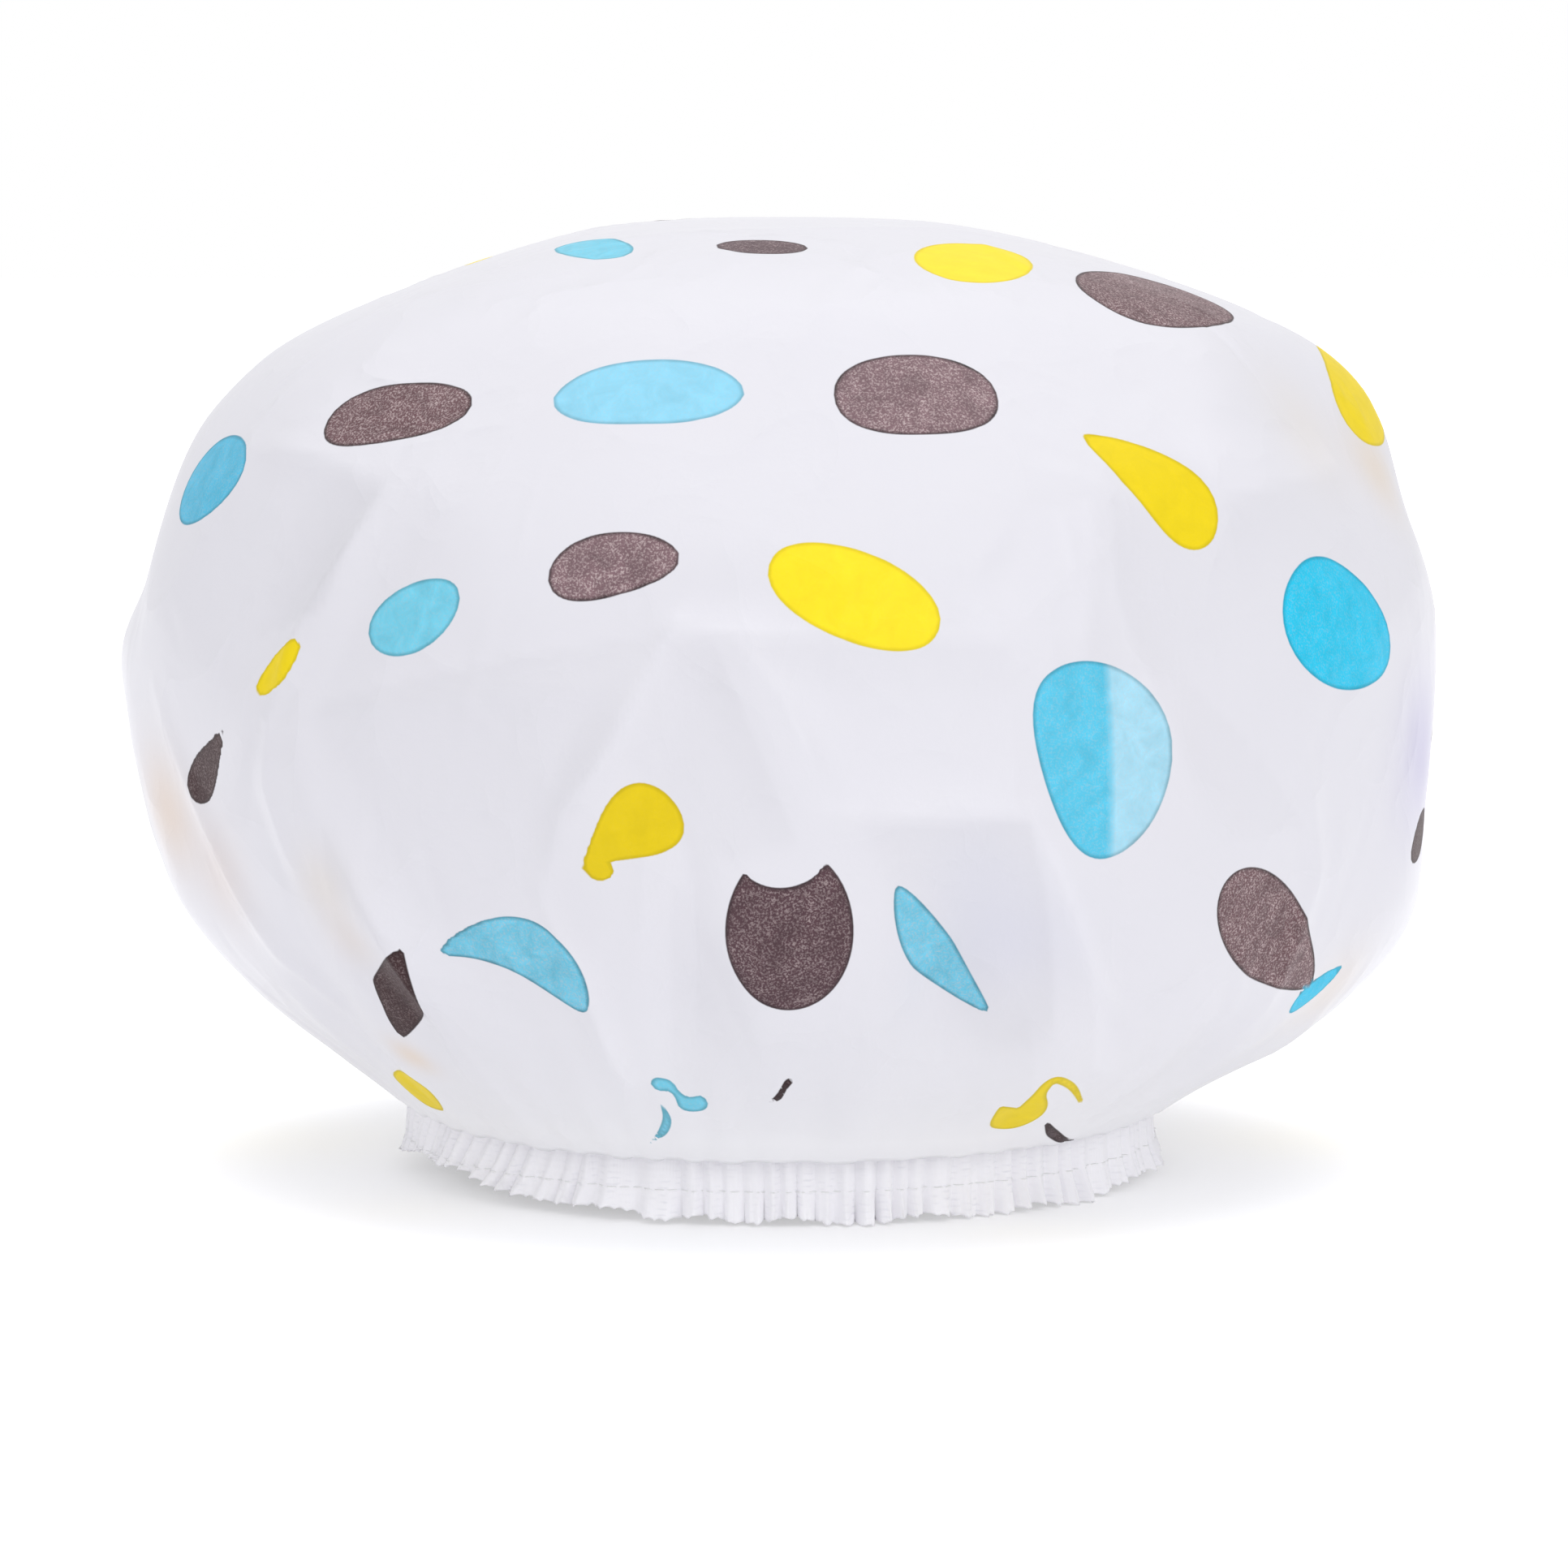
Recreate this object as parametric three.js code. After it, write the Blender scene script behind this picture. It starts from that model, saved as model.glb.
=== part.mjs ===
// A gathered shower cap, puffed out and standing on its ruffled hem as it does on a shelf.
// One round sheet of printed film makes the crown. Its edge is turned up inside as a casing for a
// flat elastic, and gathered lace is sewn over the casing with two rows of lockstitch.
// Millimetres, +Z up, the front towards -Y, the origin on the table under the middle of the crown.
import * as THREE from "three";

const TURN = 2 * Math.PI;
const QUARTER_TURN = TURN / 4;

// Crown
const crownHalfWidth = 140;
const crownHalfDepth = 133;
const crownHeight = 202.8;
const bellyHeight = 100.4;
const upperFullness = 2.53;
const upperSkew = 0.12;
const lowerFullness = 2.6;
const lowerSkew = 0.41;
const crownRows = 14;
const flatInset = 5;
const flatBlend = 5;
const foldHalfWidth = 15;
const foldHalfLength = 50;
const foldDepth = 5;

// Film and its gathers over the elastic
const filmThickness = 0.4;
const gatherDepth = 1.5;
const gatherCount = 24;
const gatherWander = 0.9;
const samplesPerGather = 4;
const gatherFadeShare = 0.8;
const clearance = 0.3;

// Elastic, a flat braid whose ends overlap
const elasticRadius = 73;
const elasticWidth = 6;
const elasticThickness = 0.7;
const elasticOverlap = 14;
const elasticSteps = 72;
const elasticLapBearing = QUARTER_TURN;

// Casing: the turned-up edge of the film
const casingBottom = 5;
const casingMargin = 1.2;
const turnSteps = 3;

// Lace
const laceHeight = 17;
const laceThickness = 0.6;
const pleatCount = 66;
const samplesPerPleat = 4;
const headerPleatDepth = 0.7;
const frillPleatDepth = 2.1;

// Sewing thread
const threadDiameter = 0.5;
const threadSides = 4;
const threadSteps = 48;
const tackLegs = 8;
const tackMargin = 1.5;

// Flats where the film is drawn taut between its folds. Bearing is the compass angle from +X and
// climb the angle above the belly, both in degrees and seen from the crown's core. The inset is how
// far a flat lies inside the rounded crown, as a share of the named inset.
const flats = [
  { bearing: -90, climb: 40, insetShare: 0.8 },
  { bearing: -122, climb: 42, insetShare: 0.6 },
  { bearing: -60, climb: 44, insetShare: 0.7 },
  { bearing: -134, climb: 15, insetShare: 0.8 },
  { bearing: -117, climb: -5, insetShare: 0.8 },
  { bearing: -97, climb: 2, insetShare: 0.5 },
  { bearing: -79, climb: -4, insetShare: 0.8 },
  { bearing: -56, climb: 12, insetShare: 0.7 },
  { bearing: -40, climb: -12, insetShare: 0.7 },
  { bearing: -28, climb: 30, insetShare: 0.8 },
  { bearing: -150, climb: -10, insetShare: 0.7 },
  { bearing: -112, climb: -30, insetShare: 0.7 },
  { bearing: -74, climb: -30, insetShare: 0.6 },
  { bearing: -178, climb: 15, insetShare: 0.5 },
  { bearing: -179, climb: -16, insetShare: 0.5 },
  { bearing: 178, climb: -44, insetShare: 0.5 },
  { bearing: 180, climb: 70, insetShare: 0.5 },
  { bearing: 0, climb: 73, insetShare: 0.5 },
  { bearing: -1, climb: 26, insetShare: 0.5 },
  { bearing: 1, climb: -10, insetShare: 0.6 },
  { bearing: 30, climb: 6, insetShare: 0.8 },
  { bearing: 44, climb: 40, insetShare: 0.8 },
  { bearing: 58, climb: -14, insetShare: 0.9 },
  { bearing: 84, climb: 16, insetShare: 0.9 },
  { bearing: 98, climb: -18, insetShare: 0.8 },
  { bearing: 112, climb: 44, insetShare: 0.7 },
  { bearing: 124, climb: 4, insetShare: 0.9 },
  { bearing: 150, climb: 28, insetShare: 0.8 },
  { bearing: 146, climb: -24, insetShare: 0.7 },
];

// Folds pressed into the film, and ridges, whose depth is below 0, that stand out of it. Lean turns
// a fold from upright towards +bearing, in degrees. Widths, lengths and depths are shares of the
// named ones.
const folds = [
  { bearing: -104, climb: 1, lean: 24, widthShare: 0.7, lengthShare: 0.75, depthShare: -0.4 },
  { bearing: -90, climb: 0, lean: -28, widthShare: 0.7, lengthShare: 0.7, depthShare: -0.4 },
  { bearing: -98, climb: -22, lean: 4, widthShare: 0.9, lengthShare: 0.7, depthShare: 0.6 },
  { bearing: -75, climb: -20, lean: -6, widthShare: 1, lengthShare: 0.75, depthShare: 1 },
  { bearing: -62, climb: -22, lean: -6, widthShare: 0.8, lengthShare: 0.9, depthShare: -0.6 },
  { bearing: -129, climb: -14, lean: -27, widthShare: 0.8, lengthShare: 1.1, depthShare: -0.6 },
  { bearing: -134, climb: 12, lean: 27, widthShare: 0.7, lengthShare: 0.7, depthShare: -0.4 },
  { bearing: -110, climb: -36, lean: 0, widthShare: 0.7, lengthShare: 0.6, depthShare: -0.4 },
  { bearing: -142, climb: -30, lean: 12, widthShare: 0.9, lengthShare: 0.8, depthShare: 0.7 },
  { bearing: -40, climb: -34, lean: -14, widthShare: 0.9, lengthShare: 0.8, depthShare: 0.7 },
  { bearing: 12, climb: -36, lean: 10, widthShare: 1, lengthShare: 0.8, depthShare: 0.8 },
  { bearing: 36, climb: -24, lean: -8, widthShare: 1, lengthShare: 1, depthShare: 0.9 },
  { bearing: 68, climb: -26, lean: 12, widthShare: 1, lengthShare: 0.9, depthShare: 0.9 },
  { bearing: 84, climb: -6, lean: -24, widthShare: 0.8, lengthShare: 0.9, depthShare: -0.5 },
  { bearing: 118, climb: -28, lean: -12, widthShare: 1, lengthShare: 0.9, depthShare: 1 },
  { bearing: 136, climb: -4, lean: 20, widthShare: 0.8, lengthShare: 1, depthShare: -0.5 },
  { bearing: 162, climb: -30, lean: -10, widthShare: 0.9, lengthShare: 0.8, depthShare: 0.8 },
];

// Radial stack of the hem, each layer seated on the one before it
const threadRadius = threadDiameter / 2;
const flapRadius = elasticRadius - clearance - filmThickness / 2;
const lappedElastic = 2 * elasticThickness + clearance;
const tackRadius = elasticRadius + lappedElastic + clearance + threadRadius;
const plyRadius = tackRadius + threadRadius + clearance + filmThickness / 2;
const laceRadius = plyRadius + gatherDepth + filmThickness / 2 + clearance + laceThickness / 2;
const needleRadius = laceRadius + headerPleatDepth + laceThickness / 2 + clearance + threadRadius;
const frillRadius = laceRadius + frillPleatDepth + laceThickness / 2;
const bobbinRadius = flapRadius - gatherDepth - filmThickness / 2 - clearance - threadRadius;

// Heights in the hem, up from the fold of the casing
const foldRadius = (plyRadius - flapRadius) / 2;
const foldTop = casingBottom + foldRadius;
const lowerRowHeight = foldTop + threadRadius;
const elasticBottom = lowerRowHeight + casingMargin;
const elasticTop = elasticBottom + elasticWidth;
const upperRowHeight = elasticTop + casingMargin;
const flapTop = upperRowHeight + casingMargin;
const frillHeight = lowerRowHeight - casingMargin;
const tuckHeight = laceHeight + clearance + filmThickness / 2;
const neckHeight = tuckHeight + casingMargin;

const core = new THREE.Vector3(0, 0, bellyHeight);
const columns = gatherCount * samplesPerGather;
const tangentSteps = 4 * crownRows;

// The bulge of a gather or pleat at a bearing, from 0 in its trough to 1 at its crest. A crest faces
// the front, where the bearing is minus a quarter turn.
function crest(bearing, count) {
  const fromFront = bearing + QUARTER_TURN;
  return (1 + Math.cos(count * fromFront + gatherWander * Math.sin(5 * fromFront))) / 2;
}

// A smooth tent: 1 at the middle, 0 from an offset of 1 outwards.
function tent(offset) {
  return THREE.MathUtils.smoothstep(1 - Math.abs(offset), 0, 1);
}

// The unit vector at a bearing and climb, in degrees, seen from the core.
function directionOf({ bearing, climb }) {
  const around = THREE.MathUtils.degToRad(bearing);
  const up = THREE.MathUtils.degToRad(climb);
  return new THREE.Vector3(
    Math.cos(around) * Math.cos(up),
    Math.sin(around) * Math.cos(up),
    Math.sin(up),
  );
}

// The rounded crown before its flats and folds: a superellipse from the top to the belly, and a
// second one from the belly that is cut off at the neck. Share runs from 0 at the top to 1.
function roundedCrown(bearing, share) {
  const side = Math.cos(bearing);
  const upper = 2 / (upperFullness + upperSkew * side);
  const lower = 2 / (lowerFullness + lowerSkew * side);
  const reach = 1 / Math.hypot(side / crownHalfWidth, Math.sin(bearing) / crownHalfDepth);
  const cut = (1 - (frillRadius / reach) ** (2 / lower)) ** (lower / 2);
  const sweep = share * (QUARTER_TURN + Math.asin(cut ** (1 / lower)));
  const above = sweep <= QUARTER_TURN;
  const turn = above ? sweep : sweep - QUARTER_TURN;
  const radius = reach * (above ? Math.sin(turn) ** upper : Math.cos(turn) ** lower);
  const height = above
    ? bellyHeight + (crownHeight - bellyHeight) * Math.cos(turn) ** upper
    : bellyHeight - ((bellyHeight - neckHeight) * Math.sin(turn) ** lower) / cut;
  return new THREE.Vector3(radius * side, radius * Math.sin(bearing), height);
}

// How far from the core the rounded crown's tangent plane lies in a direction.
function tangentDistance(direction) {
  let farthest = 0;
  for (let column = 0; column < columns; column++) {
    for (let row = 0; row <= tangentSteps; row++) {
      const point = roundedCrown((column / columns) * TURN, row / tangentSteps).sub(core);
      farthest = Math.max(farthest, point.dot(direction));
    }
  }
  return farthest;
}

const flatPlanes = flats.map((flat) => {
  const normal = directionOf(flat);
  return { normal, distance: tangentDistance(normal) - flat.insetShare * flatInset };
});

const foldFrames = folds.map((fold) => {
  const normal = directionOf(fold);
  const east = new THREE.Vector3(-normal.y, normal.x, 0).normalize();
  const north = normal.clone().cross(east);
  const lean = THREE.MathUtils.degToRad(fold.lean);
  const along = north.clone().multiplyScalar(Math.cos(lean)).addScaledVector(east, Math.sin(lean));
  const across = along.clone().cross(normal);
  return { ...fold, normal, along, across };
});

// The lesser of two lengths, rounded off where they meet.
function softMinimum(first, second, blend) {
  const overlap = Math.max(blend - Math.abs(first - second), 0) / blend;
  return Math.min(first, second) - (overlap * overlap * blend) / 4;
}

// A point of the crown: the rounded form, drawn in to its flats, folded, and gathered at the neck.
function crownPoint(bearing, share) {
  const ray = roundedCrown(bearing, share).sub(core);
  const rounded = ray.length();
  const direction = ray.clone().divideScalar(rounded);
  let reach = rounded;
  for (const { normal, distance } of flatPlanes) {
    const facing = direction.dot(normal);
    if (facing > 0) reach = softMinimum(reach, distance / facing, flatBlend);
  }
  for (const { normal, along, across, widthShare, lengthShare, depthShare } of foldFrames) {
    if (direction.dot(normal) <= 0) continue;
    const sideways = (direction.dot(across) * rounded) / (widthShare * foldHalfWidth);
    const lengthways = (direction.dot(along) * rounded) / (lengthShare * foldHalfLength);
    reach -= depthShare * foldDepth * tent(sideways) * tent(lengthways);
  }
  const gathered = THREE.MathUtils.smoothstep(share, gatherFadeShare, 1);
  const point = direction.multiplyScalar(THREE.MathUtils.lerp(reach, rounded, gathered)).add(core);
  const bulge = gathered * gatherDepth * crest(bearing, gatherCount);
  return point.add(new THREE.Vector3(Math.cos(bearing) * bulge, Math.sin(bearing) * bulge, 0));
}

function hemPoint(bearing, radius, height) {
  return new THREE.Vector3(Math.cos(bearing) * radius, Math.sin(bearing) * radius, height);
}

// The film's middle line below the neck: in over the lace, down outside the elastic, round the fold,
// and up the flap. Its gathers stand away from the elastic on both sides.
function casingRows() {
  const outside = [tuckHeight, foldTop].map((height) => ({ height, turn: 0 }));
  const fold = Array.from({ length: turnSteps - 1 }, (_, step) => ({
    height: foldTop,
    turn: ((step + 1) / turnSteps) * (TURN / 2),
  }));
  const flap = [foldTop, flapTop].map((height) => ({ height, turn: TURN / 2 }));
  return [...outside, ...fold, ...flap];
}

function casingPoint(bearing, { height, turn }) {
  const middle = (plyRadius + flapRadius) / 2;
  const puff = gatherDepth * crest(bearing, gatherCount);
  const radius = middle + (foldRadius + puff) * Math.cos(turn);
  return hemPoint(bearing, radius, height - foldRadius * Math.sin(turn));
}

// A closed shell round the Z axis: a sheet of the given thickness about its middle surface, which
// pointAt gives row by row. A closed top draws the first row together to one point. A level sheet
// keeps its two edges horizontal.
function shellAround({ columns, rows, thickness, closedTop, level, pointAt }) {
  const middle = rows.map((row) =>
    Array.from({ length: columns }, (_, column) => pointAt((column / columns) * TURN, row)),
  );
  const normalAt = (row, column) => {
    const left = middle[row][(column + columns - 1) % columns];
    const right = middle[row][(column + 1) % columns];
    const above = middle[Math.max(row - 1, 0)][column];
    const below = middle[Math.min(row + 1, rows.length - 1)][column];
    const normal = above.clone().sub(below).cross(left.clone().sub(right));
    if (level) normal.z = 0;
    return normal.normalize();
  };
  const positions = [];
  const skins = [1, -1].map((side) =>
    middle.map((points, row) => {
      if (closedTop && row === 0) {
        positions.push(0, 0, points[0].z + (side * thickness) / 2);
        return Array(columns).fill(positions.length / 3 - 1);
      }
      return points.map((point, column) => {
        const offset = normalAt(row, column).multiplyScalar((side * thickness) / 2);
        positions.push(...point.clone().add(offset).toArray());
        return positions.length / 3 - 1;
      });
    }),
  );
  // Both skins split each cell along the same diagonal, so that they stay apart where it is bent.
  const indices = [];
  const addTriangle = (...corners) => {
    if (new Set(corners).size === corners.length) indices.push(...corners);
  };
  const addQuad = (a, b, c, d) => {
    addTriangle(a, b, d);
    addTriangle(b, c, d);
  };
  const [outer, inner] = skins;
  for (let column = 0; column < columns; column++) {
    const next = (column + 1) % columns;
    for (let row = 0; row + 1 < rows.length; row++) {
      addQuad(outer[row][column], outer[row + 1][column], outer[row + 1][next], outer[row][next]);
      addQuad(inner[row][column], inner[row][next], inner[row + 1][next], inner[row + 1][column]);
    }
    const last = rows.length - 1;
    addQuad(outer[last][column], inner[last][column], inner[last][next], outer[last][next]);
    if (!closedTop) addQuad(inner[0][column], outer[0][column], outer[0][next], inner[0][next]);
  }
  const geometry = new THREE.BufferGeometry();
  geometry.setAttribute("position", new THREE.Float32BufferAttribute(positions, 3));
  geometry.setIndex(indices);
  geometry.computeVertexNormals();
  return geometry;
}

function crownFilmGeometry() {
  const crown = Array.from({ length: crownRows + 1 }, (_, row) => ({ share: row / crownRows }));
  return shellAround({
    columns,
    rows: [...crown, ...casingRows()],
    thickness: filmThickness,
    closedTop: true,
    pointAt: (bearing, row) =>
      "share" in row ? crownPoint(bearing, row.share) : casingPoint(bearing, row),
  });
}

// The lace hangs from its header, which the two rows of stitches hold flat, and fans out below.
function laceRuffleGeometry() {
  const depthAt = (height) =>
    THREE.MathUtils.lerp(frillPleatDepth, headerPleatDepth, Math.min(height / frillHeight, 1));
  return shellAround({
    columns: pleatCount * samplesPerPleat,
    rows: [laceHeight, frillHeight, 0],
    thickness: laceThickness,
    closedTop: false,
    level: true,
    pointAt: (bearing, height) =>
      hemPoint(bearing, laceRadius + depthAt(height) * crest(bearing, pleatCount), height),
  });
}

// A bar of the given section swept along a path at one height. The section's x runs down and its y
// across the path.
function sweptBar(section, path, steps) {
  return new THREE.ExtrudeGeometry(section, { extrudePath: path, steps, bevelEnabled: false });
}

function rectangle(width, height) {
  return new THREE.Shape([
    new THREE.Vector2(-width / 2, -height / 2),
    new THREE.Vector2(width / 2, -height / 2),
    new THREE.Vector2(width / 2, height / 2),
    new THREE.Vector2(-width / 2, height / 2),
  ]);
}

// The elastic's line, once round and a little further, where it steps out over its own first end.
class LappedLoop extends THREE.Curve {
  getPoint(share, target = new THREE.Vector3()) {
    const lap = elasticOverlap / elasticRadius;
    const bearing = elasticLapBearing - lap / 2 + share * (TURN + lap);
    const stepOut = elasticThickness + clearance;
    const leftToGo = (1 - share) * (TURN + lap);
    const climbed = 1 - THREE.MathUtils.smoothstep(leftToGo, lap, 3 * lap);
    const radius = elasticRadius + elasticThickness / 2 + stepOut * climbed;
    return target.set(Math.cos(bearing) * radius, Math.sin(bearing) * radius, 0);
  }
}

function elasticBandGeometry() {
  return sweptBar(rectangle(elasticWidth, elasticThickness), new LappedLoop(), elasticSteps);
}

// A zigzag of thread across the lapped ends of the elastic.
function elasticTackGeometry() {
  const run = elasticOverlap - 2 * tackMargin;
  const rise = elasticWidth - 2 * tackMargin;
  const path = new THREE.CurvePath();
  const corner = (leg) => {
    const bearing = elasticLapBearing + (leg / tackLegs - 1 / 2) * (run / tackRadius);
    return hemPoint(bearing, tackRadius, ((leg % 2) - 1 / 2) * rise);
  };
  for (let leg = 0; leg < tackLegs; leg++) {
    path.add(new THREE.LineCurve3(corner(leg), corner(leg + 1)));
  }
  return sweptBar(rectangle(threadDiameter, threadDiameter), path, tackLegs);
}

function threadRingGeometry(radius) {
  return new THREE.TorusGeometry(radius, threadRadius, threadSides, threadSteps);
}

const printedFilm = { color: 0xe9e9ee, roughness: 0.45, metalness: 0 };
const knittedElastic = { color: 0xf2f0ea, roughness: 0.9, metalness: 0 };
const cottonLace = { color: 0xf4f4f8, roughness: 0.85, metalness: 0 };
const polyesterThread = { color: 0xf0f0f4, roughness: 0.6, metalness: 0 };

const cap = new THREE.Group();

function addPiece(name, geometry, finish, height = 0) {
  const mesh = new THREE.Mesh(geometry, new THREE.MeshStandardMaterial(finish));
  mesh.name = name;
  mesh.position.z = height;
  cap.add(mesh);
}

const elasticMiddle = (elasticBottom + elasticTop) / 2;
addPiece("crown_film", crownFilmGeometry(), printedFilm);
addPiece("elastic_band", elasticBandGeometry(), knittedElastic, elasticMiddle);
addPiece("elastic_tack_thread", elasticTackGeometry(), polyesterThread, elasticMiddle);
addPiece("lace_ruffle", laceRuffleGeometry(), cottonLace);
addPiece("needle_thread_upper", threadRingGeometry(needleRadius), polyesterThread, upperRowHeight);
addPiece("needle_thread_lower", threadRingGeometry(needleRadius), polyesterThread, lowerRowHeight);
addPiece("bobbin_thread_upper", threadRingGeometry(bobbinRadius), polyesterThread, upperRowHeight);
addPiece("bobbin_thread_lower", threadRingGeometry(bobbinRadius), polyesterThread, lowerRowHeight);

export default cap;
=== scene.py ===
"""A gathered shower cap of printed film with a lace hem, puffed out and standing on its lace.

Sizes in the classes are in millimetres, and each mesh is turned to metres when it is made. The
frame is the CAD model's: +Z up, the front towards -Y, the origin on the table under the crown.
Bearings run round from +X and climbs run up from the belly, in degrees in all the tables.
"""

import logging
import math
from collections.abc import Callable
from dataclasses import dataclass, field
from enum import Enum
from functools import partial

import bpy
import numpy as np
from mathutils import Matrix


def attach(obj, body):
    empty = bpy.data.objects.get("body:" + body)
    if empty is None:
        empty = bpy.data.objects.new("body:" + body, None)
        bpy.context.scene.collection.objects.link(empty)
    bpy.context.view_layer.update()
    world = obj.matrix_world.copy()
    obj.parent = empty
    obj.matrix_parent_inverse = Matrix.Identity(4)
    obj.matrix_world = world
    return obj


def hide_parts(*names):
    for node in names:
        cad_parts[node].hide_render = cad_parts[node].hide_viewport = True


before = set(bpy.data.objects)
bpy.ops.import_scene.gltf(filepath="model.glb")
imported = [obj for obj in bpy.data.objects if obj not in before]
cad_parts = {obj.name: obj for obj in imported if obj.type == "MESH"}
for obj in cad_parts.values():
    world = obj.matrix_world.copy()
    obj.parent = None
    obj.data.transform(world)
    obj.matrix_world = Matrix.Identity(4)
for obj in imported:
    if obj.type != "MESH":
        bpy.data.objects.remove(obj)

Array = np.ndarray
Adder = Callable[..., bpy.types.Node]

LOG = logging.getLogger("shower_cap")
MM = 0.001
TURN = 2 * math.pi
MAP_RADIUS = 125  # the film's usual distance from the core, where its patches are laid out flat
FARTHEST = 6.0  # the greatest distance to a dot's edge that is told apart


def smoothstep(value: Array, low: float, high: float) -> Array:
    """Rises smoothly from 0 at low to 1 at high, by 3 t^2 - 2 t^3 of the way t."""
    step = np.clip((value - low) / (high - low), 0.0, 1.0)
    return step * step * (3 - 2 * step)


def tent(offset: Array) -> Array:
    """1 at an offset of 0, falling smoothly to 0 at 1 on both sides."""
    return smoothstep(1 - np.abs(offset), 0.0, 1.0)


def ring(radius: Array | float, bearing: Array | float, height: Array | float) -> Array:
    """Points at distances from the axis, bearings in radians and heights, coordinates last."""
    places = radius * np.cos(bearing), radius * np.sin(bearing), height
    return np.stack(np.broadcast_arrays(*places), -1)


def direction_of(bearing: Array | float, climb: Array | float) -> Array:
    """The unit vector at a bearing from +X and a climb above the belly, both in degrees."""
    up = np.radians(climb)
    return ring(np.cos(up), np.radians(bearing), np.sin(up))


def middle_of(directions: Array) -> Array:
    """The unit vector through the mean of some."""
    mean = directions.mean(0)
    return mean / np.linalg.norm(mean)


def compass(normal: Array, tilt: float = 0) -> tuple[Array, Array]:
    """Two unit vectors that are square to a unit vector and to each other.

    Args:
        normal: The unit vector.
        tilt: How far the two are turned about it, in degrees.

    Returns:
        The level one towards +bearing and the climbing one, both turned.
    """
    east = np.array([-normal[1], normal[0], 0.0]) / math.hypot(normal[0], normal[1])
    north = np.cross(normal, east)
    cosine, sine = math.cos(math.radians(tilt)), math.sin(math.radians(tilt))
    return east * cosine + north * sine, north * cosine - east * sine


def flat_map(rays: Array, normal: Array, reach: float) -> Array:
    """Where rays from the core meet the plane that is square to a unit vector at a reach."""
    return rays / (rays @ normal)[:, None] * reach


def travelled(line: Array) -> Array:
    """The way along a line of points, from 0 at the first."""
    steps = np.linalg.norm(np.diff(line, axis=-2), axis=-1)
    return np.concatenate([np.zeros_like(steps[..., :1]), np.cumsum(steps, -1)], -1)


def linear(colour: str) -> tuple[float, ...]:
    """Turns an sRGB hex colour into the linear one that a shader takes.

    Args:
        colour: Six hex digits after a hash sign.

    Returns:
        Linear red, green and blue, and an alpha of 1.
    """
    parts = [int(colour[start : start + 2], 16) / 255 for start in (1, 3, 5)]
    curve = [x / 12.92 if x <= 0.04045 else ((x + 0.055) / 1.055) ** 2.4 for x in parts]
    return *curve, 1.0


@dataclass(frozen=True)
class Flat:
    """A place where the film is drawn taut: its bearing and climb, and how far it lies inside."""

    bearing: float
    climb: float
    inset: float


@dataclass(frozen=True)
class Fold:
    """A soft fold pressed into the film, or a ridge where its depth is below 0.

    It leans from upright towards +bearing.
    """

    bearing: float
    climb: float
    lean: float
    half_width: float
    half_length: float
    depth: float


@dataclass(frozen=True)
class Crease:
    """A sharp line in the film along a route of bearings and climbs. Below 0 it is a groove."""

    route: tuple[tuple[float, float], ...]
    height: float
    half_width: float


FLATS = tuple(
    Flat(*row)
    for row in (
        (-90, 40, 4.0), (-122, 42, 3.0), (-60, 44, 3.5), (-134, 15, 4.0), (-117, -5, 4.0),
        (-97, 2, 2.5), (-79, -4, 4.0), (-56, 12, 3.5), (-40, -12, 3.5), (-28, 30, 4.0),
        (-150, -10, 3.5), (-112, -30, 3.5), (-74, -30, 3.0), (-178, 15, 2.5), (-179, -16, 2.5),
        (178, -44, 2.5), (180, 70, 2.5), (0, 73, 2.5), (-1, 26, 2.5), (1, -10, 3.0),
        (30, 6, 4.0), (44, 40, 4.0), (58, -14, 4.5), (84, 16, 4.5), (98, -18, 4.0),
        (112, 44, 3.5), (124, 4, 4.5), (150, 28, 4.0), (146, -24, 3.5),
    )
)

FOLDS = tuple(
    Fold(*row)
    for row in (
        (-104, 1, 24, 10.5, 37.5, -2.0), (-90, 0, -28, 10.5, 35, -2.0),
        (-98, -22, 4, 13.5, 35, 3.0), (-75, -20, -6, 15, 37.5, 5.0),
        (-62, -22, -6, 12, 45, -3.0), (-129, -14, -27, 12, 55, -3.0),
        (-134, 12, 27, 10.5, 35, -2.0), (-110, -36, 0, 10.5, 30, -2.0),
        (-142, -30, 12, 13.5, 40, 3.5), (-40, -34, -14, 13.5, 40, 3.5),
        (12, -36, 10, 15, 40, 4.0), (36, -24, -8, 15, 50, 4.5),
        (68, -26, 12, 15, 45, 4.5), (84, -6, -24, 12, 45, -2.5),
        (118, -28, -12, 15, 45, 5.0), (136, -4, 20, 12, 50, -2.5),
        (162, -30, -10, 13.5, 40, 4.0), (-2, 27, 0, 34, 28, -3.8),
        (179, -37, 0, 34, 20, 2.4), (1, -38, 0, 30, 20, 1.5),
        (0, -17, 0, 60, 24, -3), (180, 5, 0, 40, 16, -2.4),
    )
)

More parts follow.
